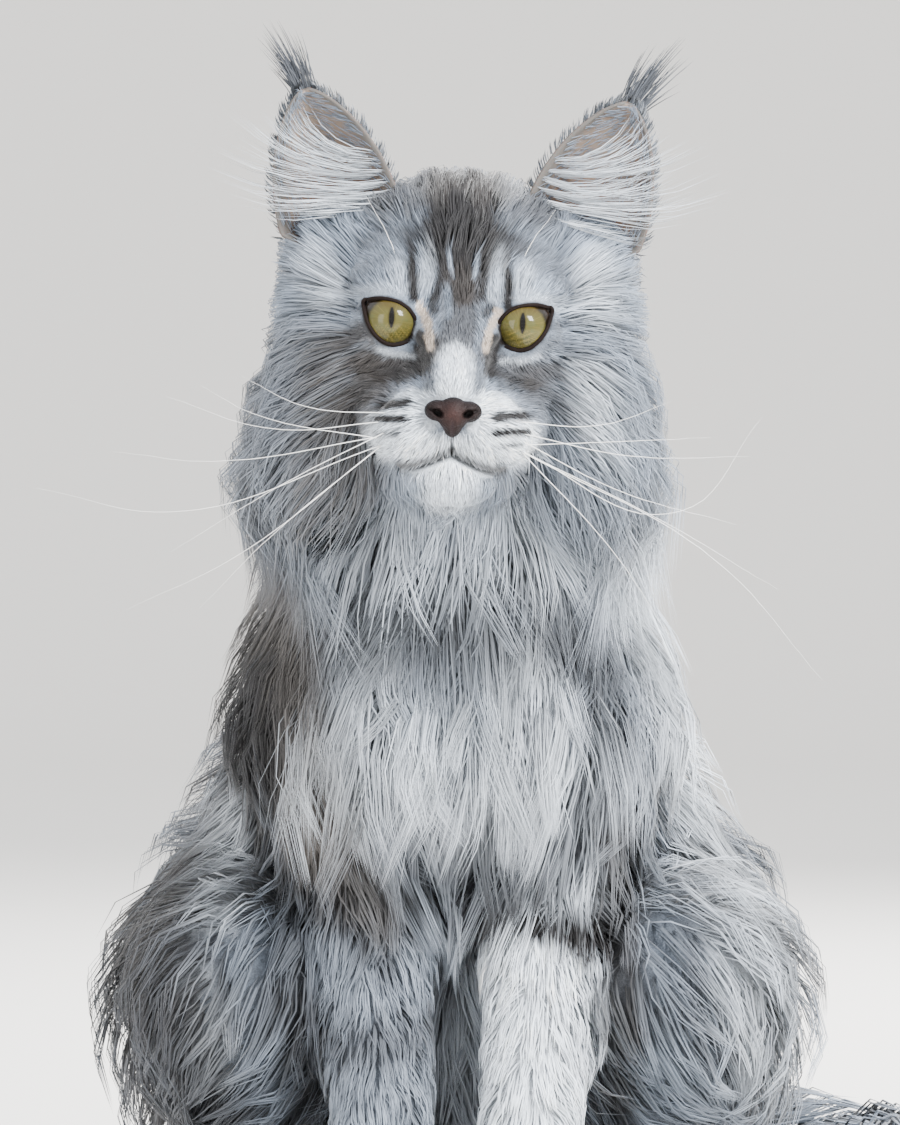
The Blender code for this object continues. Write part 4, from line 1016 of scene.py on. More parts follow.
def bladeFaces(rings):
    faces = [(0, 2, 1)]
    for ring in range(rings):
        for corner in range(3):
            a, b = 3 * ring + corner, 3 * ring + (corner + 1) % 3
            if ring < rings - 1:
                faces += [(a, b, b + 3), (a, b + 3, a + 3)]
            else:
                faces.append((a, b, 3 * rings))
    return np.array(faces)


def makeTufts(name, path, up, width, tones, place, lean=None, twist=0.4, thick=0.3, strandWidth=0.4):
    count, stations = path.shape[:2]
    rings = stations - 1
    ahead = unit(path[:, 1:] - path[:, :-1])
    side = unit(np.cross(ahead, up[:, :rings]))
    over = np.cross(side, ahead)
    turn = rng.normal(0, twist, count)[:, None, None]
    side, over = (side * np.cos(turn) + over * np.sin(turn), over * np.cos(turn) - side * np.sin(turn))
    wide = (width[:, None] * np.array(tapers[rings]))[..., None]
    centre = path[:, :rings]
    corners = np.stack([centre - side * wide / 2, centre + over * wide * thick, centre + side * wide / 2], 2)
    points = np.concatenate([corners.reshape(count, rings * 3, 3), path[:, rings:]], 1)
    points[..., 2] = np.maximum(points[..., 2], 0.2)
    perBlade = rings * 3 + 1
    # the hair is shaded as part of the whole coat, with only a little roundness of its own
    lean = np.zeros((count, 3)) if lean is None else lean
    soft = up[:, :rings] + (lean + rng.normal(0, 0.12, (count, 3)))[:, None]
    sides3 = np.array([-0.7, 0, 0.7])[None, None, :, None] * side[:, :, None]
    shaded = (soft[:, :, None] + sides3).reshape(count, rings * 3, 3)
    shaded = unit(np.concatenate([shaded, soft[:, -1:]], 1))
    faces = bladeFaces(rings)[None] + (np.arange(count) * perBlade)[:, None, None]
    colour = np.concatenate([np.repeat(tones[:, :rings], 3, 1), tones[:, rings:]], 1)
    length = np.linalg.norm(path[:, 1:] - path[:, :-1], axis=2).sum(1)
    across = np.concatenate([np.tile([-0.5, 0, 0.5], rings), [0]])
    along = np.concatenate([np.repeat(np.arange(rings) / rings, 3), [1]])
    lifted = np.concatenate([np.tile([0, 0.3, 0], rings), [0]])
    strand = np.stack([
        across[None] * width[:, None] / strandWidth,
        along[None] * length[:, None] * 0.05,
        np.repeat(rng.uniform(0, 400, count)[:, None], perBlade, 1),
    ], 2)
    patch = np.stack([
        place[:, :1] + across[None] * 0.003,
        place[:, 1:] + (along[None] - 0.5) * 0.003 + lifted[None] * 0.002,
    ], 2)
    triangles = faces.reshape(-1, 3)
    made = linkObject(name, meshOf(name, toWorld(points.reshape(-1, 3)), triangles))
    mesh = made.data
    setColour(mesh, "coatTone", colour.reshape(-1, 3))
    for label, values in (("strand", strand), ("custom_normal", shaded)):
        layer = mesh.attributes.new(label, "FLOAT_VECTOR", "POINT")
        layer.data.foreach_set("vector", values.astype(np.float32).ravel())
    bake = mesh.uv_layers.new(name="OFBake")
    bake.uv.foreach_set("vector", patch.reshape(-1, 2)[triangles.ravel()].astype(np.float32).ravel())
    mesh.materials.append(coatMaterial)
    mesh.shade_smooth()
    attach(made, "root")
    return made


skinCorners = skinPoints[skinTriangles]
skinCentre = skinCorners.mean(1)
skinCross = np.cross(skinCorners[:, 1] - skinCorners[:, 0], skinCorners[:, 2] - skinCorners[:, 0])
skinArea = np.linalg.norm(skinCross, axis=1) / 2
skinNormal = unit(skinCross)
skinHeight, skinOut, skinDepth, skinShare = bodyField(skinCentre)
centreLocal = toHead(skinCentre)


def shareOf(*names):
    return sum(skinShare[:, regions.index(name)] for name in names)


# no hair between the lids, on the nose, along the lips or under the feet
bare = (skinCentre[:, 2] < 1.5) & (skinNormal[:, 2] < -0.5)
for side in sides.values():
    bare |= (centreLocal[:, 1] < 8) & (lidDistance(centreLocal, side) < 1.1)
lips, philtrum = mouthDistance(centreLocal)
onFront = centreLocal[:, 1] < -6
bare |= onFront & ((lips < 1.3) | (philtrum < 0.6))
bare |= onFront & (np.abs(centreLocal[:, 0]) < 8.5) & (centreLocal[:, 2] < -27.5) & (centreLocal[:, 2] > -37.5)
isHead, isNeck, isTail = shareOf("head"), shareOf("neck"), shareOf("tail")
isLeg, isPaw = shareOf("foreleg"), shareOf("forepaw", "hindFoot")
isTrunk = shareOf("torso", "haunch")
facing = smooth(0.35, -0.15, skinOut[:, 1])

# density in tufts per square mm; length in mm from the coat's depth; lift at the root; how wide a lock
# is, how far its hairs draw together, how much it sways; and how far the coat stands out of its depth
longHaired = (isNeck + isTrunk > 0.5) & (isLeg <= 0.5)
bibShare = shareOf("neck") + shareOf("torso") * smooth(70, 110, skinCentre[:, 2])


# a band round the chest from which a tier of long locks hangs
def tierAt(middle, half, wide):
    along = np.exp(-((skinCentre[:, 2] - middle + 0.12 * np.abs(skinCentre[:, 0])) / half) ** 2)
    inside = smooth(wide + 8, wide - 14, np.abs(skinCentre[:, 0])) * smooth(-0.2, -0.5, skinOut[:, 1])
    return along * inside * (shareOf("neck", "torso") > 0.5) * (along > 0.2)


# shade: how dark each hair is painted at its root, middle and tip: painted shade inside the coat and painted light on
# its outer tips
coatPieces = {
    "face": dict(density=(isHead > 0.5) * (skinDepth < 6.5) * 2.2, rings=2, length=(1.2, 2.0),
                 width=0.45, lift=0.2, stray=0.08, clump=0, lock=3, sway=0, reach=(0.45, 0.75), ticked=0.2, tone=0.08, lean=0.08, shade=(0.7, 0.95, 1.05)),
    "paws": dict(density=(isPaw > 0.5) * 0.3, rings=2, length=(1.7, 2), width=0.7, lift=0.3,
                 stray=0.13, clump=0.3, lock=5, sway=0, reach=(0.5, 0.95), tone=0.07, lean=0.1, shade=(0.6, 0.95, 1.1)),
    "cheeks": dict(density=(isHead > 0.5) * (skinDepth >= 6.5) * 0.82, rings=3, length=(2.6, 3),
                   width=0.52, lift=0.6, stray=0.08, clump=0.35, lock=5, sway=0.5, reach=(0.7, 1.15), ticked=0.16, tone=0.12, lean=0.14, shade=(0.62, 0.88, 1.08)),
    "forelegs": dict(density=(isLeg > 0.5) * 0.4, rings=3, length=(1.9, 5), width=0.7, lift=0.35,
                     stray=0.1, clump=0.4, lock=6, sway=0.4, reach=(0.4, 0.8), tone=0.1, lean=0.12, shade=(0.55, 0.9, 1.12)),
    # the bib under the tiers of long locks is painted darker all along its hairs: painted shade
    "bib": dict(density=longHaired * facing * (0.11 + 0.11 * bibShare), rings=3, length=(2.1, 4),
                width=0.85, lift=0.7, stray=0.06, clump=0.7, lock=8, sway=2.6, reach=(0.35, 0.85),
                tone=0.15, lean=0.12, shade=(0.34, 0.62, 1.0)),
    "collar": dict(density=tierAt(320, 17, 50) * 0.85, rings=4, length=(0, 74), width=0.62, lift=0.8,
                   stray=0.08, clump=0.68, lock=7, sway=3.5, reach=(0.85, 1.15), tone=0.2, lean=0.2,
                   shade=(0.26, 0.7, 1.1), frost=0.5, ticked=0.12, vary=(0.55, 1.15)),
    # the throat's tier is painted darker, as painted shade under the collar's locks
    "throat": dict(density=tierAt(268, 13, 50) * 0.5, rings=4, length=(0, 54), width=0.62, lift=0.8,
                   stray=0.08, clump=0.6, lock=7, sway=3, reach=(0.75, 1.0), tone=0.2, lean=0.2,
                   shade=(0.2, 0.42, 0.7), ticked=0.12, vary=(0.6, 1.15)),
    "mane": dict(density=tierAt(238, 14, 44) * 0.9, rings=4, length=(0, 78), width=0.52, lift=0.8,
                 stray=0.08, clump=0.66, lock=6, sway=4, reach=(0.95, 1.3), tone=0.2, lean=0.18,
                 shade=(0.16, 0.66, 1.12), frost=0.55, ticked=0.12, vary=(0.5, 1.15)),
    "flanks": dict(density=longHaired * (1 - facing) * 0.115, rings=4, length=(2.4, 6), width=1.15,
                   lift=0.4, stray=0.06, clump=0.7, lock=9, sway=1.2, reach=(0.8, 1.25), tone=0.18,
                   lean=0.16, shade=(0.42, 0.8, 1.35), ticked=0.12),
    "tail": dict(density=(isTail > 0.5) * 0.17, rings=3, length=(2.1, 2), width=1.6, lift=0.8,
                 stray=0.1, clump=0.7, lock=10, sway=1.5, reach=(0.5, 1.0), tone=0.1, lean=0.15, shade=(0.5, 0.9, 1.15)),
}


def unwrap(name, roots):
    if name == "tail":
        along = tailPlace(roots)
        line = np.array(tail["line"], float)
        steps = np.concatenate([[0], np.cumsum(np.linalg.norm(np.diff(line, axis=0), axis=1))])
        middle = np.stack([np.interp(along, steps, line[:, axis]) for axis in range(3)], 1)
        off = roots - middle
        return np.stack([along, np.arctan2(off[:, 2], off[:, 0] + off[:, 1] * 0.3)], 1)
    if name in ("face", "cheeks"):
        off = toHead(roots) - (0, 40, -5)
        return np.stack([np.arctan2(off[:, 0], -off[:, 1]), off[:, 2] / np.linalg.norm(off, axis=1)], 1)
    if name in ("paws", "forelegs"):
        # both sides of the body side by side
        turned = np.arctan2(np.abs(roots[:, 0]) - 30, -roots[:, 1] - 45)
        return np.stack([turned + np.sign(roots[:, 0]) * 3.3, roots[:, 2] + roots[:, 1] * 0.2], 1)
    return np.stack([np.arctan2(roots[:, 0], 40 - roots[:, 1]), roots[:, 2] + roots[:, 1] * 0.15], 1)


def growCoat(name, piece):
    wanted = skinArea * np.where(bare, 0, piece["density"])
    count = int(wanted.sum())
    chosen = rng.choice(len(wanted), count, p=wanted / wanted.sum())
    mix = np.sort(rng.uniform(0, 1, (count, 2)), 1)
    mix = np.stack([mix[:, 0], mix[:, 1] - mix[:, 0], 1 - mix[:, 1]], 1)
    roots = np.einsum("nc,nci->ni", mix, skinCorners[chosen])
    height, outward, depth, share = bodyField(roots)
    # locks: each hair is drawn to the nearest leader, and takes its length, height and lean
    apart = piece["lock"] ** 2 * piece["density"].max()
    leaders = rng.permutation(count)[:max(1, int(wanted.sum() / apart))]
    tree = KDTree(len(leaders))
    for index, leader in enumerate(leaders):
        tree.insert(roots[leader], index)
    tree.balance()
    leaderOf = np.array([tree.find(root)[1] for root in roots])
    lead = leaders[leaderOf]
    loose = rng.uniform(0, 1, count) < 0.05
    lockLength = rng.uniform(*piece.get("vary", (0.78, 1.15)), len(leaders))[leaderOf]
    lockTone = rng.normal(1, piece["tone"], len(leaders))[leaderOf]
    lockLean = rng.normal(0, piece["lean"], (len(leaders), 3))[leaderOf]
    lockReach = rng.uniform(*piece["reach"], len(leaders))[leaderOf]
    lockSway = rng.normal(0, piece["sway"], (len(leaders), 2))[leaderOf]
    slope, least = piece["length"]
    length = (depth * slope + least) * lockLength * rng.uniform(0.72, 1.0, count)
    length[leaders] = length[leaders] * 1.1
    # short about the eyes
    for side in sides.values():
        away = lidDistance(toHead(roots), side)
        length *= 0.4 + 0.6 * smooth(0, 7, away)
    lean = lieAt(roots, outward, share) + lockLean
    lean = lean + rng.normal(0, piece["stray"], (count, 3)) * np.where(loose, 2.2, 1)[:, None]
    rings = piece["rings"]
    reach = depth * lockReach * rng.uniform(0.85, 1.08, count)
    ruffed = smooth(280, 305, roots[:, 2]) * smooth(372, 340, roots[:, 2]) * smooth(22, 38, np.abs(roots[:, 0]))
    ruffed = ruffed * share[:, regions.index("head")]
    reach *= 1 + 0.55 * ruffed
    length *= 1 + 0.2 * ruffed
    strides = np.array(stepShares[rings])
    stations = np.concatenate([[0], np.cumsum(strides)])
    path = np.zeros((count, rings + 1, 3))
    ups = np.zeros((count, rings + 1, 3))
    place, over = roots - outward * 0.4, outward
    path[:, 0], ups[:, 0] = place, over
    for step in range(1, rings + 1):
        share0 = (stations[step] + stations[step - 1]) / 2
        flat = unit(lean - over * (lean * over).sum(1)[:, None])
        ahead = unit(flat + over * piece["lift"] * (1 - share0) ** 2)
        stride = length * strides[step - 1]
        place = place + ahead * stride[:, None]
        high, over = bodyField(place)[:2]
        rise = math.sin(min(1, stations[step] * 1.3) * math.pi / 2) * (1 - 0.1 * (step == rings))
        # the ruff lies flatter where it falls over the shoulders
        flatter = np.exp(-((place[:, 2] - 260) / 26) ** 2) * smooth(28, 52, np.abs(place[:, 0]))
        rise = rise * (1 - 0.5 * flatter * smooth(70, 30, place[:, 1]))
        move = np.clip(reach * rise - high, -stride * (0.2 if step == rings else 0.6), stride * 0.7)
        place = place + over * (move * 0.85)[:, None]
        at = stations[step]
        sway = lockSway[:, :1] * math.sin(3.1 * at) + lockSway[:, 1:] * at
        path[:, step], ups[:, step] = place + np.cross(over, flat) * sway, over
    for step in range(1, rings + 1):
        pull = piece["clump"] * stations[step] ** 1.1 * np.where(loose, 0.2, 1)[:, None]
        path[:, step] += (path[lead, step] - path[:, step]) * pull
    path[:, 1:, 2] = np.maximum(path[:, 1:, 2], 0.8)
    # the markings follow the coat's own surface, so each part of a hair takes the colour of its place
    placed = furColour(path[:, 1:].reshape(-1, 3)).reshape(count, rings, 3)
    placed = np.concatenate([placed[:, :1], placed], 1)
    lockFrost = rng.uniform(0.25, 1.1, len(leaders))[leaderOf, None, None]
    frost = piece.get("frost", 0) * lockFrost * stations[None, :, None] ** 0.7
    placed = placed + (0.85 * furTones["white"] - placed) * frost
    placed = placed * (lockTone * rng.normal(1, piece.get("ticked", 0.06), count))[:, None, None]
    # each hair painted darker towards its root and lighter towards its tip: painted shade inside the coat and painted
    # light on its outer tips
    shade = np.interp(stations, (0, 0.4, 1), piece["shade"])
    tones = np.clip(placed * shade[None, :, None], 0, 1)
    raw = unwrap(name, roots)
    width = piece["width"] * rng.uniform(0.7, 1.25, count)
    facesPer = 6 * (rings - 1) + 4
    pieces = max(1, math.ceil(count * facesPer / 185000))
    order = np.argsort(raw[:, 0])
    for index, rows in enumerate(np.array_split(order, pieces)):
        low, high = raw[rows].min(0), raw[rows].max(0)
        place2 = 0.02 + 0.96 * (raw[rows] - low) / (high - low)
        label = "coat_" + name + ("_" + "abcdef"[index] if pieces > 1 else "")
        makeTufts(label, path[rows], ups[rows], width[rows], tones[rows], place2, lockLean[rows])
    return count * facesPer


coatTotal = 0
for name, piece in coatPieces.items():
    grown = growCoat(name, piece)
    coatTotal += grown
    print("coat", name, grown, "triangles")

# Ears: a thin cup open to the front, grey-brown skin inside, furred outside, long pale hair across it
ear = {
    "base": (43, 36, 37), "tip": (58, 33, 83), "half": 22, "hollow": 16, "thick": 2.0, "root": -0.22,
    "top": 0.985, "lean": 5, "columns": 26, "rows": 40,
}


def earPoint(side, across, up):
    across, up = np.broadcast_arrays(np.asarray(across, float), np.asarray(up, float))
    base, tip = np.array(ear["base"], float), np.array(ear["tip"], float)
    axis = unit(tip - base)
    sideways = np.array([axis[2], 0, -axis[0]])
    narrowing = (1 - np.clip(up, 0, 1) ** 2) ** 0.7 * (1 + 2.2 * np.minimum(up, 0))
    point = base + (tip - base) * up[..., None] + sideways * (ear["half"] * narrowing * across)[..., None]
    hollow = ear["hollow"] * (1 - across ** 2) * narrowing
    point[..., 1] += hollow - ear["lean"] * np.abs(across) * (1 - up)
    return point * (side, 1, 1)


def makeEar(sideName, side):
    across, up = np.meshgrid(np.linspace(-1, 1, ear["columns"] + 1),
                             np.linspace(ear["root"], ear["top"], ear["rows"] + 1))
    front = earPoint(side, across, up)
    du = np.gradient(front, axis=1)
    dv = np.gradient(front, axis=0)
    normal = unit(np.cross(du, dv)) * side
    thick = ear["thick"] * (1 - 0.55 * np.abs(across) ** 4)[..., None]
    outer = front - normal * thick / 2
    inner = front + normal * thick / 2
    wide, tall = ear["columns"] + 1, ear["rows"] + 1
    points = np.concatenate([inner.reshape(-1, 3), outer.reshape(-1, 3)])
    back = wide * tall
    triangles = []
    for row in range(tall - 1):
        for column in range(wide - 1):
            a = row * wide + column
            b, c, d = a + 1, a + wide + 1, a + wide
            triangles += [(a, b, c), (a, c, d), (back + a, back + c, back + b), (back + a, back + d, back + c)]
    border = [column for column in range(wide)]
    border += [row * wide + wide - 1 for row in range(1, tall)]
    border += [(tall - 1) * wide + column for column in range(wide - 2, -1, -1)]
    border += [row * wide for row in range(tall - 2, 0, -1)]
    for a, b in zip(border, border[1:] + border[:1]):
        triangles += [(a, back + a, back + b), (a, back + b, b)]
    triangles = np.array(triangles)
    if side < 0:
        triangles = triangles[:, ::-1]
    made = finishPiece("ear_shell_" + sideName, fromHead(points), triangles, earMaterial)
    acrossAll = np.tile(across.ravel(), 2)
    upAll = np.tile(up.ravel(), 2)
    inside = np.arange(len(points)) < back
    flesh, fur = srgb("77695F"), srgb("55524F")
    deep = srgb("6E4A36")
    colour = np.where(inside[:, None], flesh, fur)
    pocket = inside * smooth(0.55, 0.1, upAll) * smooth(0.9, 0.2, np.abs(acrossAll))
    colour = colour + (deep - colour) * pocket[:, None]
    edge = smooth(0.72, 0.95, np.abs(acrossAll)) * inside
    colour = colour + (fur - colour) * edge[:, None]
    setColour(made.data, "coatTone", colour)
    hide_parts("ear_" + sideName)
    return made


def earSkin():
    made, tree, shader = newMaterial("earSkin", {
        "Roughness": 0.6, "Specular IOR Level": 0.25, "Subsurface Weight": 0.15,
        "Subsurface Radius": (0.004, 0.0015, 0.001), "Subsurface Scale": 1.0,
    })
    tone = addNode(tree, "ShaderNodeAttribute", {"attribute_name": "coatTone"})
    tree.links.new(tone.outputs["Color"], shader.inputs["Base Color"])
    return made


earMaterial = earSkin()
earHair = {
    "sweep": dict(count=160, low=0.0, high=0.46, width=0.3, reach=2.1, climb=0.28),
    "tip": dict(count=90, length=29, width=0.5, lean=0.3),
    "down": dict(count=900, length=5, width=0.3),
    "rim": dict(count=2400, length=3.8, width=0.6),
}


def earFur(sideName, side):
    makeEar(sideName, side)
    forward = np.array([0, -1, 0]) @ headTurn.T

    def grow(name, path, width, tones, ups=None):
        world = fromHead(path.reshape(-1, 3)).reshape(path.shape)
        count = len(path)
        up = np.broadcast_to(forward, world.shape) if ups is None else ups @ headTurn.T
        raw = np.stack([path[:, 0, 0] + path[:, 0, 1] * 0.5, path[:, 0, 2]], 1)
        low, high = raw.min(0), raw.max(0)
        place = 0.02 + 0.96 * (raw - low) / (high - low)
        # each ear hair painted a little darker at its root: painted shade
        shade = np.linspace(0.85, 1.05, path.shape[1])
        colour = np.clip(tones[:, None] * shade[None, :, None] * rng.normal(1, 0.08, (count, 1, 1)), 0, 1)
        makeTufts("ear_" + name + "_" + sideName, world, up, width, colour, place)

    # long pale hair from the inner edge, out across the cup and past its outer edge
    spec = earHair["sweep"]
    level = rng.uniform(0, 1, spec["count"])
    # six locks with bare skin between them, each with its own bow and rise
    lock = (level * 6).astype(int).clip(0, 5)
    level = (lock + rng.uniform(0, 0.5, spec["count"])) / 6
    up = spec["low"] + (spec["high"] - spec["low"]) * level
    root = rng.uniform(-0.97, -0.62, spec["count"])
    length = spec["reach"] * (0.75 + 0.55 * np.sin(math.pi * level)) * rng.uniform(0.55, 1.1, spec["count"])
    stray = rng.normal(0, 1.2, (spec["count"], 3)) * (1, 0.6, 1)
    path = np.zeros((spec["count"], 5, 3))
    edgeY = earPoint(side, 1, up)[:, 1]
    clear = rng.uniform(1, 6, spec["count"])
    bow, rise = rng.normal(-2, 1.5, 6)[lock], rng.normal(3, 3, 6)[lock]
    for step, share in enumerate(np.linspace(0, 1, 5)):
        across = root + length * share
        climb = spec["climb"] * share * (0.5 + level)
        place = earPoint(side, np.clip(across, -1, 1), np.maximum(up + climb, -0.2))
        place[:, 0] += side * np.maximum(across - 1, 0) * ear["half"]
        place[:, 2] += bow * math.sin(3.0 * share) + share ** 2 * (rise + 14 * (level - 0.35))
        float2 = edgeY - clear - 3 * math.sin(math.pi * share)
        place[:, 1] = place[:, 1] + (np.minimum(float2, place[:, 1] - 1) - place[:, 1]) * min(1, share * 2.4)
        path[:, step] = place + stray * share
    tones = np.repeat(furTones["white"][None], spec["count"], 0) * rng.uniform(0.25, 0.8, (spec["count"], 1))
    grow("furnishing", path, np.full(spec["count"], spec["width"]), tones)
    # the fan of dark hair at the tip
    spec = earHair["tip"]
    across = rng.uniform(-0.45, 0.5, spec["count"])
    start = earPoint(side, across, rng.uniform(0.85, 0.97, spec["count"]))
    heading = np.stack([side * (spec["lean"] + across / 3), 0.05 + across * 0, 0.9 + across * 0], 1)
    heading = unit(heading + rng.normal(0, 0.1, heading.shape))
    size = spec["length"] * rng.uniform(0.45, 1.1, spec["count"]) * (1 - np.abs(across - 0.2) / 3)
    shares = np.linspace(0, 1, 5)[None, :, None]
    path = start[:, None] + heading[:, None] * size[:, None, None] * shares
    path[..., 0] += side * 5 * shares[..., 0] ** 2
    tones = np.repeat(furTones["slate"][None], spec["count"], 0) * rng.uniform(0.5, 1.3, (spec["count"], 1))
    grow("tuft", path, np.full(spec["count"], spec["width"]), tones)
    # fine down inside the cup
    spec = earHair["down"]
    across, up = rng.uniform(-0.98, 0.98, spec["count"]), rng.uniform(0.0, 0.97, spec["count"])
    start = earPoint(side, across, up)
    here = earPoint(side, across + 0.02, up) - start
    over = earPoint(side, across, up + 0.02) - start
    ahead = unit(np.cross(here, over)) * side
    start = start + ahead * (0.4 * ear["thick"])
    lean = unit(unit(over) + unit(here) * 0.7 + ahead * 0.25 + rng.normal(0, 0.15, ahead.shape))
    size = spec["length"] * rng.uniform(0.6, 1.2, spec["count"])[:, None, None]
    path = start[:, None] + lean[:, None] * size * np.linspace(0, 1, 3)[None, :, None]
    tones = np.repeat(furTones["silver"][None], spec["count"], 0) * rng.uniform(0.4, 1.0, (spec["count"], 1))
    grow("down", path, np.full(spec["count"], spec["width"]), tones)
    # short hair on the back of the cup and along its edges
    spec = earHair["rim"]
    across = rng.uniform(-1, 1, spec["count"])
    up = rng.uniform(-0.1, 0.96, spec["count"])
    start = earPoint(side, across, up)
    here = earPoint(side, across + 0.02, up) - start
    over = earPoint(side, across, up + 0.02) - start
    behind = unit(np.cross(here, over)) * -side
    toTip = unit(over)
    rimShare = smooth(0.7, 1, np.abs(across))[:, None]
    lean = unit(toTip + behind * 0.3 + unit(here) * np.sign(across)[:, None] * 0.6 * rimShare)
    start = start + behind * (0.5 * ear["thick"])
    size = spec["length"] * rng.uniform(0.7, 1.2, spec["count"])[:, None, None]
    path = start[:, None] + lean[:, None] * size * np.linspace(0, 1, 3)[None, :, None]
    path += behind[:, None] * np.array([0, 1.0, 1.2])[None, :, None]
    tones = np.repeat(furTones["silver"][None], spec["count"], 0) * rng.uniform(0.4, 1.2, (spec["count"], 1))
    ups = np.broadcast_to(behind[:, None], path.shape)
    grow("nap", path, np.full(spec["count"], spec["width"]), tones, ups)


for sideName, side in sides.items():
    earFur(sideName, side)
print("ears: 2")

# Whiskers: a curve per hair, swept to a tapering round hair by a node tree.
# Each is (x, z) where it leaves the pad, (x, z) halfway and (x, z) at its end, on the head's own axes.
whiskers = {
    "radius": 0.16, "sides": 5, "wave": 0.15, "seed": 3,
    "right": [
        ((-34, -45), (-93, -70), (-144, -64)), ((-28.7, -49), (-72, -84), (-111, -105)),
        ((-39, -42), (-66, -36), (-88, -26)), ((-30, -41), (-80, -52), (-118, -50)),
        ((-26, -36), (-62, -40), (-100, -30)), ((-24, -44), (-60, -76), (-86, -104)),
        ((-22, -39), (-56, -58), (-96, -84)), ((-21, -33), (-50, -32), (-74, -22)),
    ],
    "left": [
        ((31, -50), (92, -78), (133, -119)), ((36, -47), (78, -63), (108, -28)),
        ((32.5, -42), (60, -39), (90, -36)), ((29, -44), (74, -66), (116, -88)),
        ((26, -38), (62, -44), (104, -42)), ((25, -48), (58, -78), (80, -108)),
        ((23, -40), (58, -56), (100, -66)), ((22, -34), (50, -34), (76, -24)),
    ],
    "brow": [
        ((19, 13), (24, 28), (33, 42)), ((-19, 13), (-25, 29), (-34, 44)),
    ],
}


def whiskerTree(material):
    tree = bpy.data.node_groups.new("whiskerSweep", "GeometryNodeTree")
    face = tree.interface
    face.new_socket(name="Geometry", in_out="INPUT", socket_type="NodeSocketGeometry")
    inputs = {}
    for label, kind in (("Radius", "NodeSocketFloat"), ("Wave", "NodeSocketFloat"),
                        ("Sides", "NodeSocketInt"), ("Seed", "NodeSocketInt")):
        inputs[label] = face.new_socket(name=label, in_out="INPUT", socket_type=kind).identifier
    face.new_socket(name="Geometry", in_out="OUTPUT", socket_type="NodeSocketGeometry")
    given = addNode(tree, "NodeGroupInput").outputs
    resample = addNode(tree, "GeometryNodeResampleCurve", {"Count": 24}, {"Curve": given["Geometry"]})
    along = addNode(tree, "GeometryNodeSplineParameter").outputs["Factor"]
    which = addNode(tree, "GeometryNodeInputIndex").outputs["Index"]
    drift = addNode(tree, "FunctionNodeRandomValue", {"data_type": "FLOAT_VECTOR"},
                    {"ID": which, "Seed": given["Seed"]})
    drift.inputs[0].default_value = (-1, -1, -1)
    bent = addNode(tree, "ShaderNodeVectorMath", {"operation": "SCALE"})
    tree.links.new(drift.outputs[0], bent.inputs[0])
    amount = addNode(tree, "ShaderNodeMath", {"operation": "MULTIPLY"})
    tree.links.new(along, amount.inputs[0])
    tree.links.new(given["Wave"], amount.inputs[1])
    tree.links.new(amount.outputs[0], bent.inputs["Scale"])
    moved = addNode(tree, "GeometryNodeSetPosition", {}, {
        "Geometry": resample.outputs["Curve"], "Offset": bent.outputs["Vector"]})
    left = addNode(tree, "ShaderNodeMapRange", {"To Min": 1.0, "To Max": 0.12}, {"Value": along})
    size = addNode(tree, "ShaderNodeMath", {"operation": "MULTIPLY"})
    tree.links.new(left.outputs["Result"], size.inputs[0])
    tree.links.new(given["Radius"], size.inputs[1])
    sized = addNode(tree, "GeometryNodeSetCurveRadius", {}, {
        "Curve": moved.outputs["Geometry"], "Radius": size.outputs[0]})
    ring = addNode(tree, "GeometryNodeCurvePrimitiveCircle", {"Radius": 1.0}, {"Resolution": given["Sides"]})
    swept = addNode(tree, "GeometryNodeCurveToMesh", {"Fill Caps": True}, {
        "Curve": sized.outputs["Curve"], "Profile Curve": ring.outputs["Curve"]})
    if "Scale" in swept.inputs:
        tree.links.new(size.outputs[0], swept.inputs["Scale"])
    real = addNode(tree, "GeometryNodeRealizeInstances", {}, {"Geometry": swept.outputs["Mesh"]})
    painted = addNode(tree, "GeometryNodeSetMaterial", {"Material": material},
                      {"Geometry": real.outputs["Geometry"]})
    addNode(tree, "NodeGroupOutput", {}, {"Geometry": painted.outputs["Geometry"]})
    return tree, inputs


# Stiff translucent bristle, nearly white
def whiskerHair():
    return newMaterial("whiskerHair", {
        "Base Color": (*srgb("F4F4F2"), 1), "Roughness": 0.35, "Specular IOR Level": 0.5,
    })[0]


def makeWhiskers():
    curve = bpy.data.curves.new("whiskers", "CURVE")
    curve.dimensions = "3D"
    for key in ("right", "left", "brow"):
        for root, middle, end in whiskers[key]:
            start = skinFront(np.clip(root[0], -24, 24), max(root[1], -44), -0.6)
            reach = 18 if key != "brow" else 6
            spots = [start, (middle[0], start[1] + 4, middle[1]), (end[0], start[1] + reach, end[1])]
            spline = curve.splines.new("BEZIER")
            spline.bezier_points.add(len(spots) - 1)
            for bezier, spot in zip(spline.bezier_points, spots):
                bezier.co = toWorld(fromHead(np.array([spot])))[0]
                bezier.handle_left_type = bezier.handle_right_type = "AUTO"
    made = linkObject("whiskers", curve)
    tree, inputs = whiskerTree(whiskerHair())
    sweep = made.modifiers.new("sweep", "NODES")
    sweep.node_group = tree
    sweep[inputs["Radius"]] = whiskers["radius"] * mm
    sweep[inputs["Wave"]] = whiskers["wave"] * mm
    sweep[inputs["Sides"]] = whiskers["sides"]
    sweep[inputs["Seed"]] = whiskers["seed"]
    graph = bpy.context.evaluated_depsgraph_get()
    mesh = bpy.data.meshes.new_from_object(made.evaluated_get(graph))
    bpy.data.objects.remove(made)
    mesh.name = "whiskers"
    swept = linkObject("whiskers", mesh)
    mesh.shade_smooth()
    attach(swept, "root")
    return swept


whiskerObject = makeWhiskers()
print("whiskers:", len(whiskerObject.data.polygons), "faces")

# Claws: short horn hooks, nearly hidden in the fur of the toes
claw = {"length": 6, "radius": 1.1, "up": 2.5}


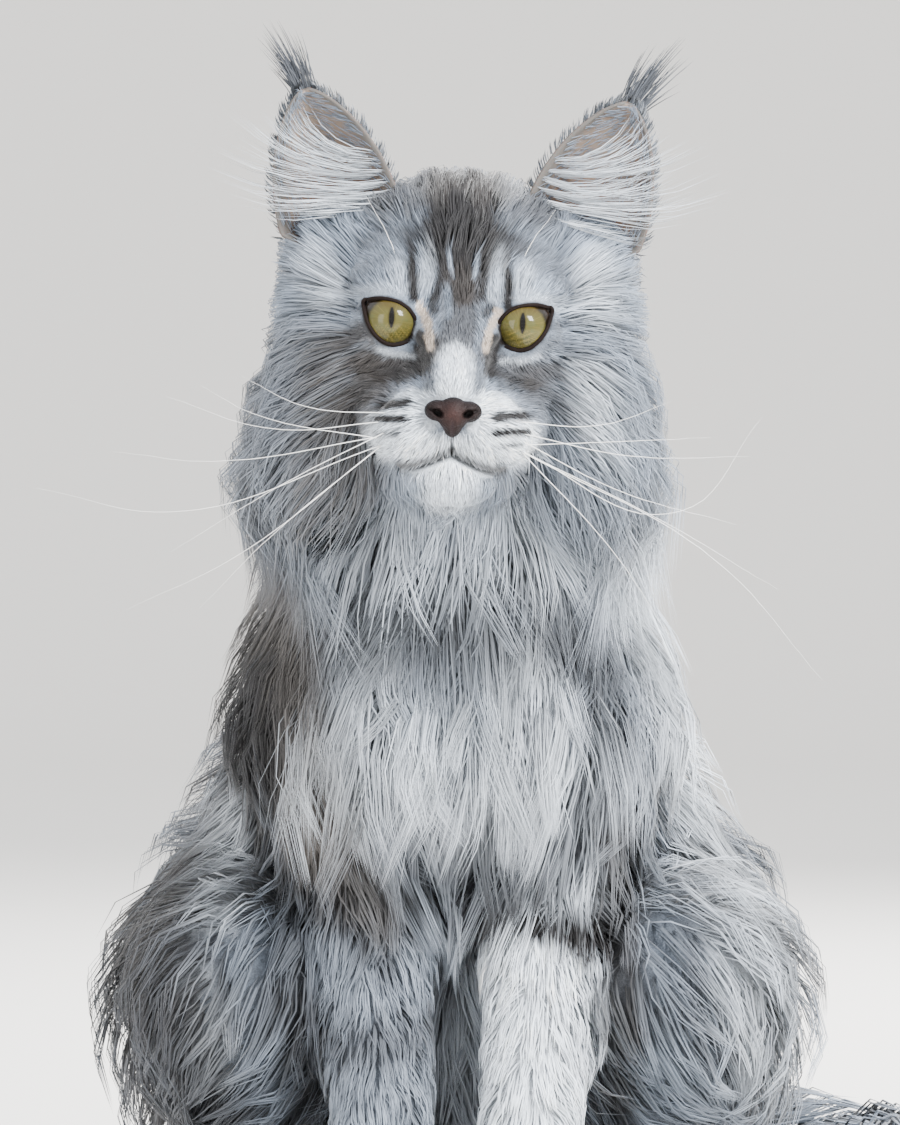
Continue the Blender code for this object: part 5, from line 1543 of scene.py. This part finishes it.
def clawHorn():
    return newMaterial("clawHorn", {
        "Base Color": (*srgb("C9B9A6"), 1), "Roughness": 0.3, "Specular IOR Level": 0.5,
    })[0]


clawParts = []
for toeLine in ((25, -110, 11), (74, -60, 11)):
    for side in sides.values():
        for spread, back in zip((-13.5, -4.8, 4.8, 13.5), (4, 0, 0, 4)):
            shares = np.linspace(0, 1, 6)
            x = np.full(6, (toeLine[0] + spread) * side)
            y = toeLine[1] + back - 9.5 - claw["length"] * shares
            z = toeLine[2] + claw["up"] - 6 * shares ** 2
            clawParts.append(tube(np.stack([x, y, z], 1), claw["radius"] * (1.05 - shares) + 0.08))
claws = finishPiece("claws", *gather(clawParts), clawHorn())
print("claws: 16")

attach(skin, "root")
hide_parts(*[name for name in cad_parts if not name.startswith(("eye", "nose", "ear"))])

# Studio: a plain pale floor under soft lights
stage = {"floor": "E6E3DE", "sky": "EEF1F6", "skyStrength": 2.3}
lights = {
    "key": dict(at=(1.1, -1.5, 1.5), size=0.8, watts=150),
    "fill": dict(at=(-1.5, -1.6, 0.7), size=1.2, watts=30),
    "back": dict(at=(0.7, 1.5, 1.5), size=1.0, watts=120),
}


def floorPaint():
    return newMaterial("floorPaint", {"Base Color": (*srgb(stage["floor"]), 1), "Roughness": 0.8})[0]


# a wide round sweep: flat, then rising to an open rim
profile = [(0.0, 0.0), (2.0, 0.0), (5.2, 0.0)]
profile += [(5.2 + 1.8 * math.sin(turn), 1.8 - 1.8 * math.cos(turn)) for turn in np.linspace(0.15, 1.571, 9)]
profile += [(7.0, 4.2)]
around = 96
turns = np.arange(around) / around * 2 * math.pi
sweepPoints = [np.stack([out * np.cos(turns), out * np.sin(turns), turns * 0 + up], 1) for out, up in profile[1:]]
sweepPoints = np.concatenate([np.zeros((1, 3))] + sweepPoints)
sweepFaces = []
for column in range(around):
    after = (column + 1) % around
    sweepFaces.append((0, 1 + column, 1 + after))
    for row in range(len(profile) - 2):
        a, b = 1 + row * around + column, 1 + row * around + after
        sweepFaces += [(a, a + around, b + around), (a, b + around, b)]
floor = linkObject("floor", meshOf("floor", sweepPoints, np.array(sweepFaces)))
floor.data.shade_smooth()
floor.data.materials.append(floorPaint())
world = bpy.data.worlds.new("studio")
bpy.context.scene.world = world
world.use_nodes = True
world.node_tree.nodes["Background"].inputs["Color"].default_value = (*srgb(stage["sky"]), 1)
world.node_tree.nodes["Background"].inputs["Strength"].default_value = stage["skyStrength"]
target = Vector((0, 0, 0.25))
for name, light in lights.items():
    lamp = bpy.data.lights.new(name, "AREA")
    lamp.size = light["size"]
    lamp.energy = light["watts"]
    lampObject = linkObject(name, lamp)
    lampObject.location = light["at"]
    lampObject.rotation_euler = (target - Vector(light["at"])).to_track_quat("-Z", "Y").to_euler()
    lampObject.visible_camera = False

camera = {"at": (-2.45, -2000, 272.5), "lens": 173.7}
cameraData = bpy.data.cameras.new("camera")
cameraData.lens = camera["lens"]
cameraData.sensor_width = 36
cameraObject = linkObject("camera", cameraData)
cameraObject.location = toWorld(camera["at"])
cameraObject.rotation_euler = (math.radians(90), 0, 0)
bpy.context.scene.camera = cameraObject

print("coat:", coatTotal, "triangles in all")
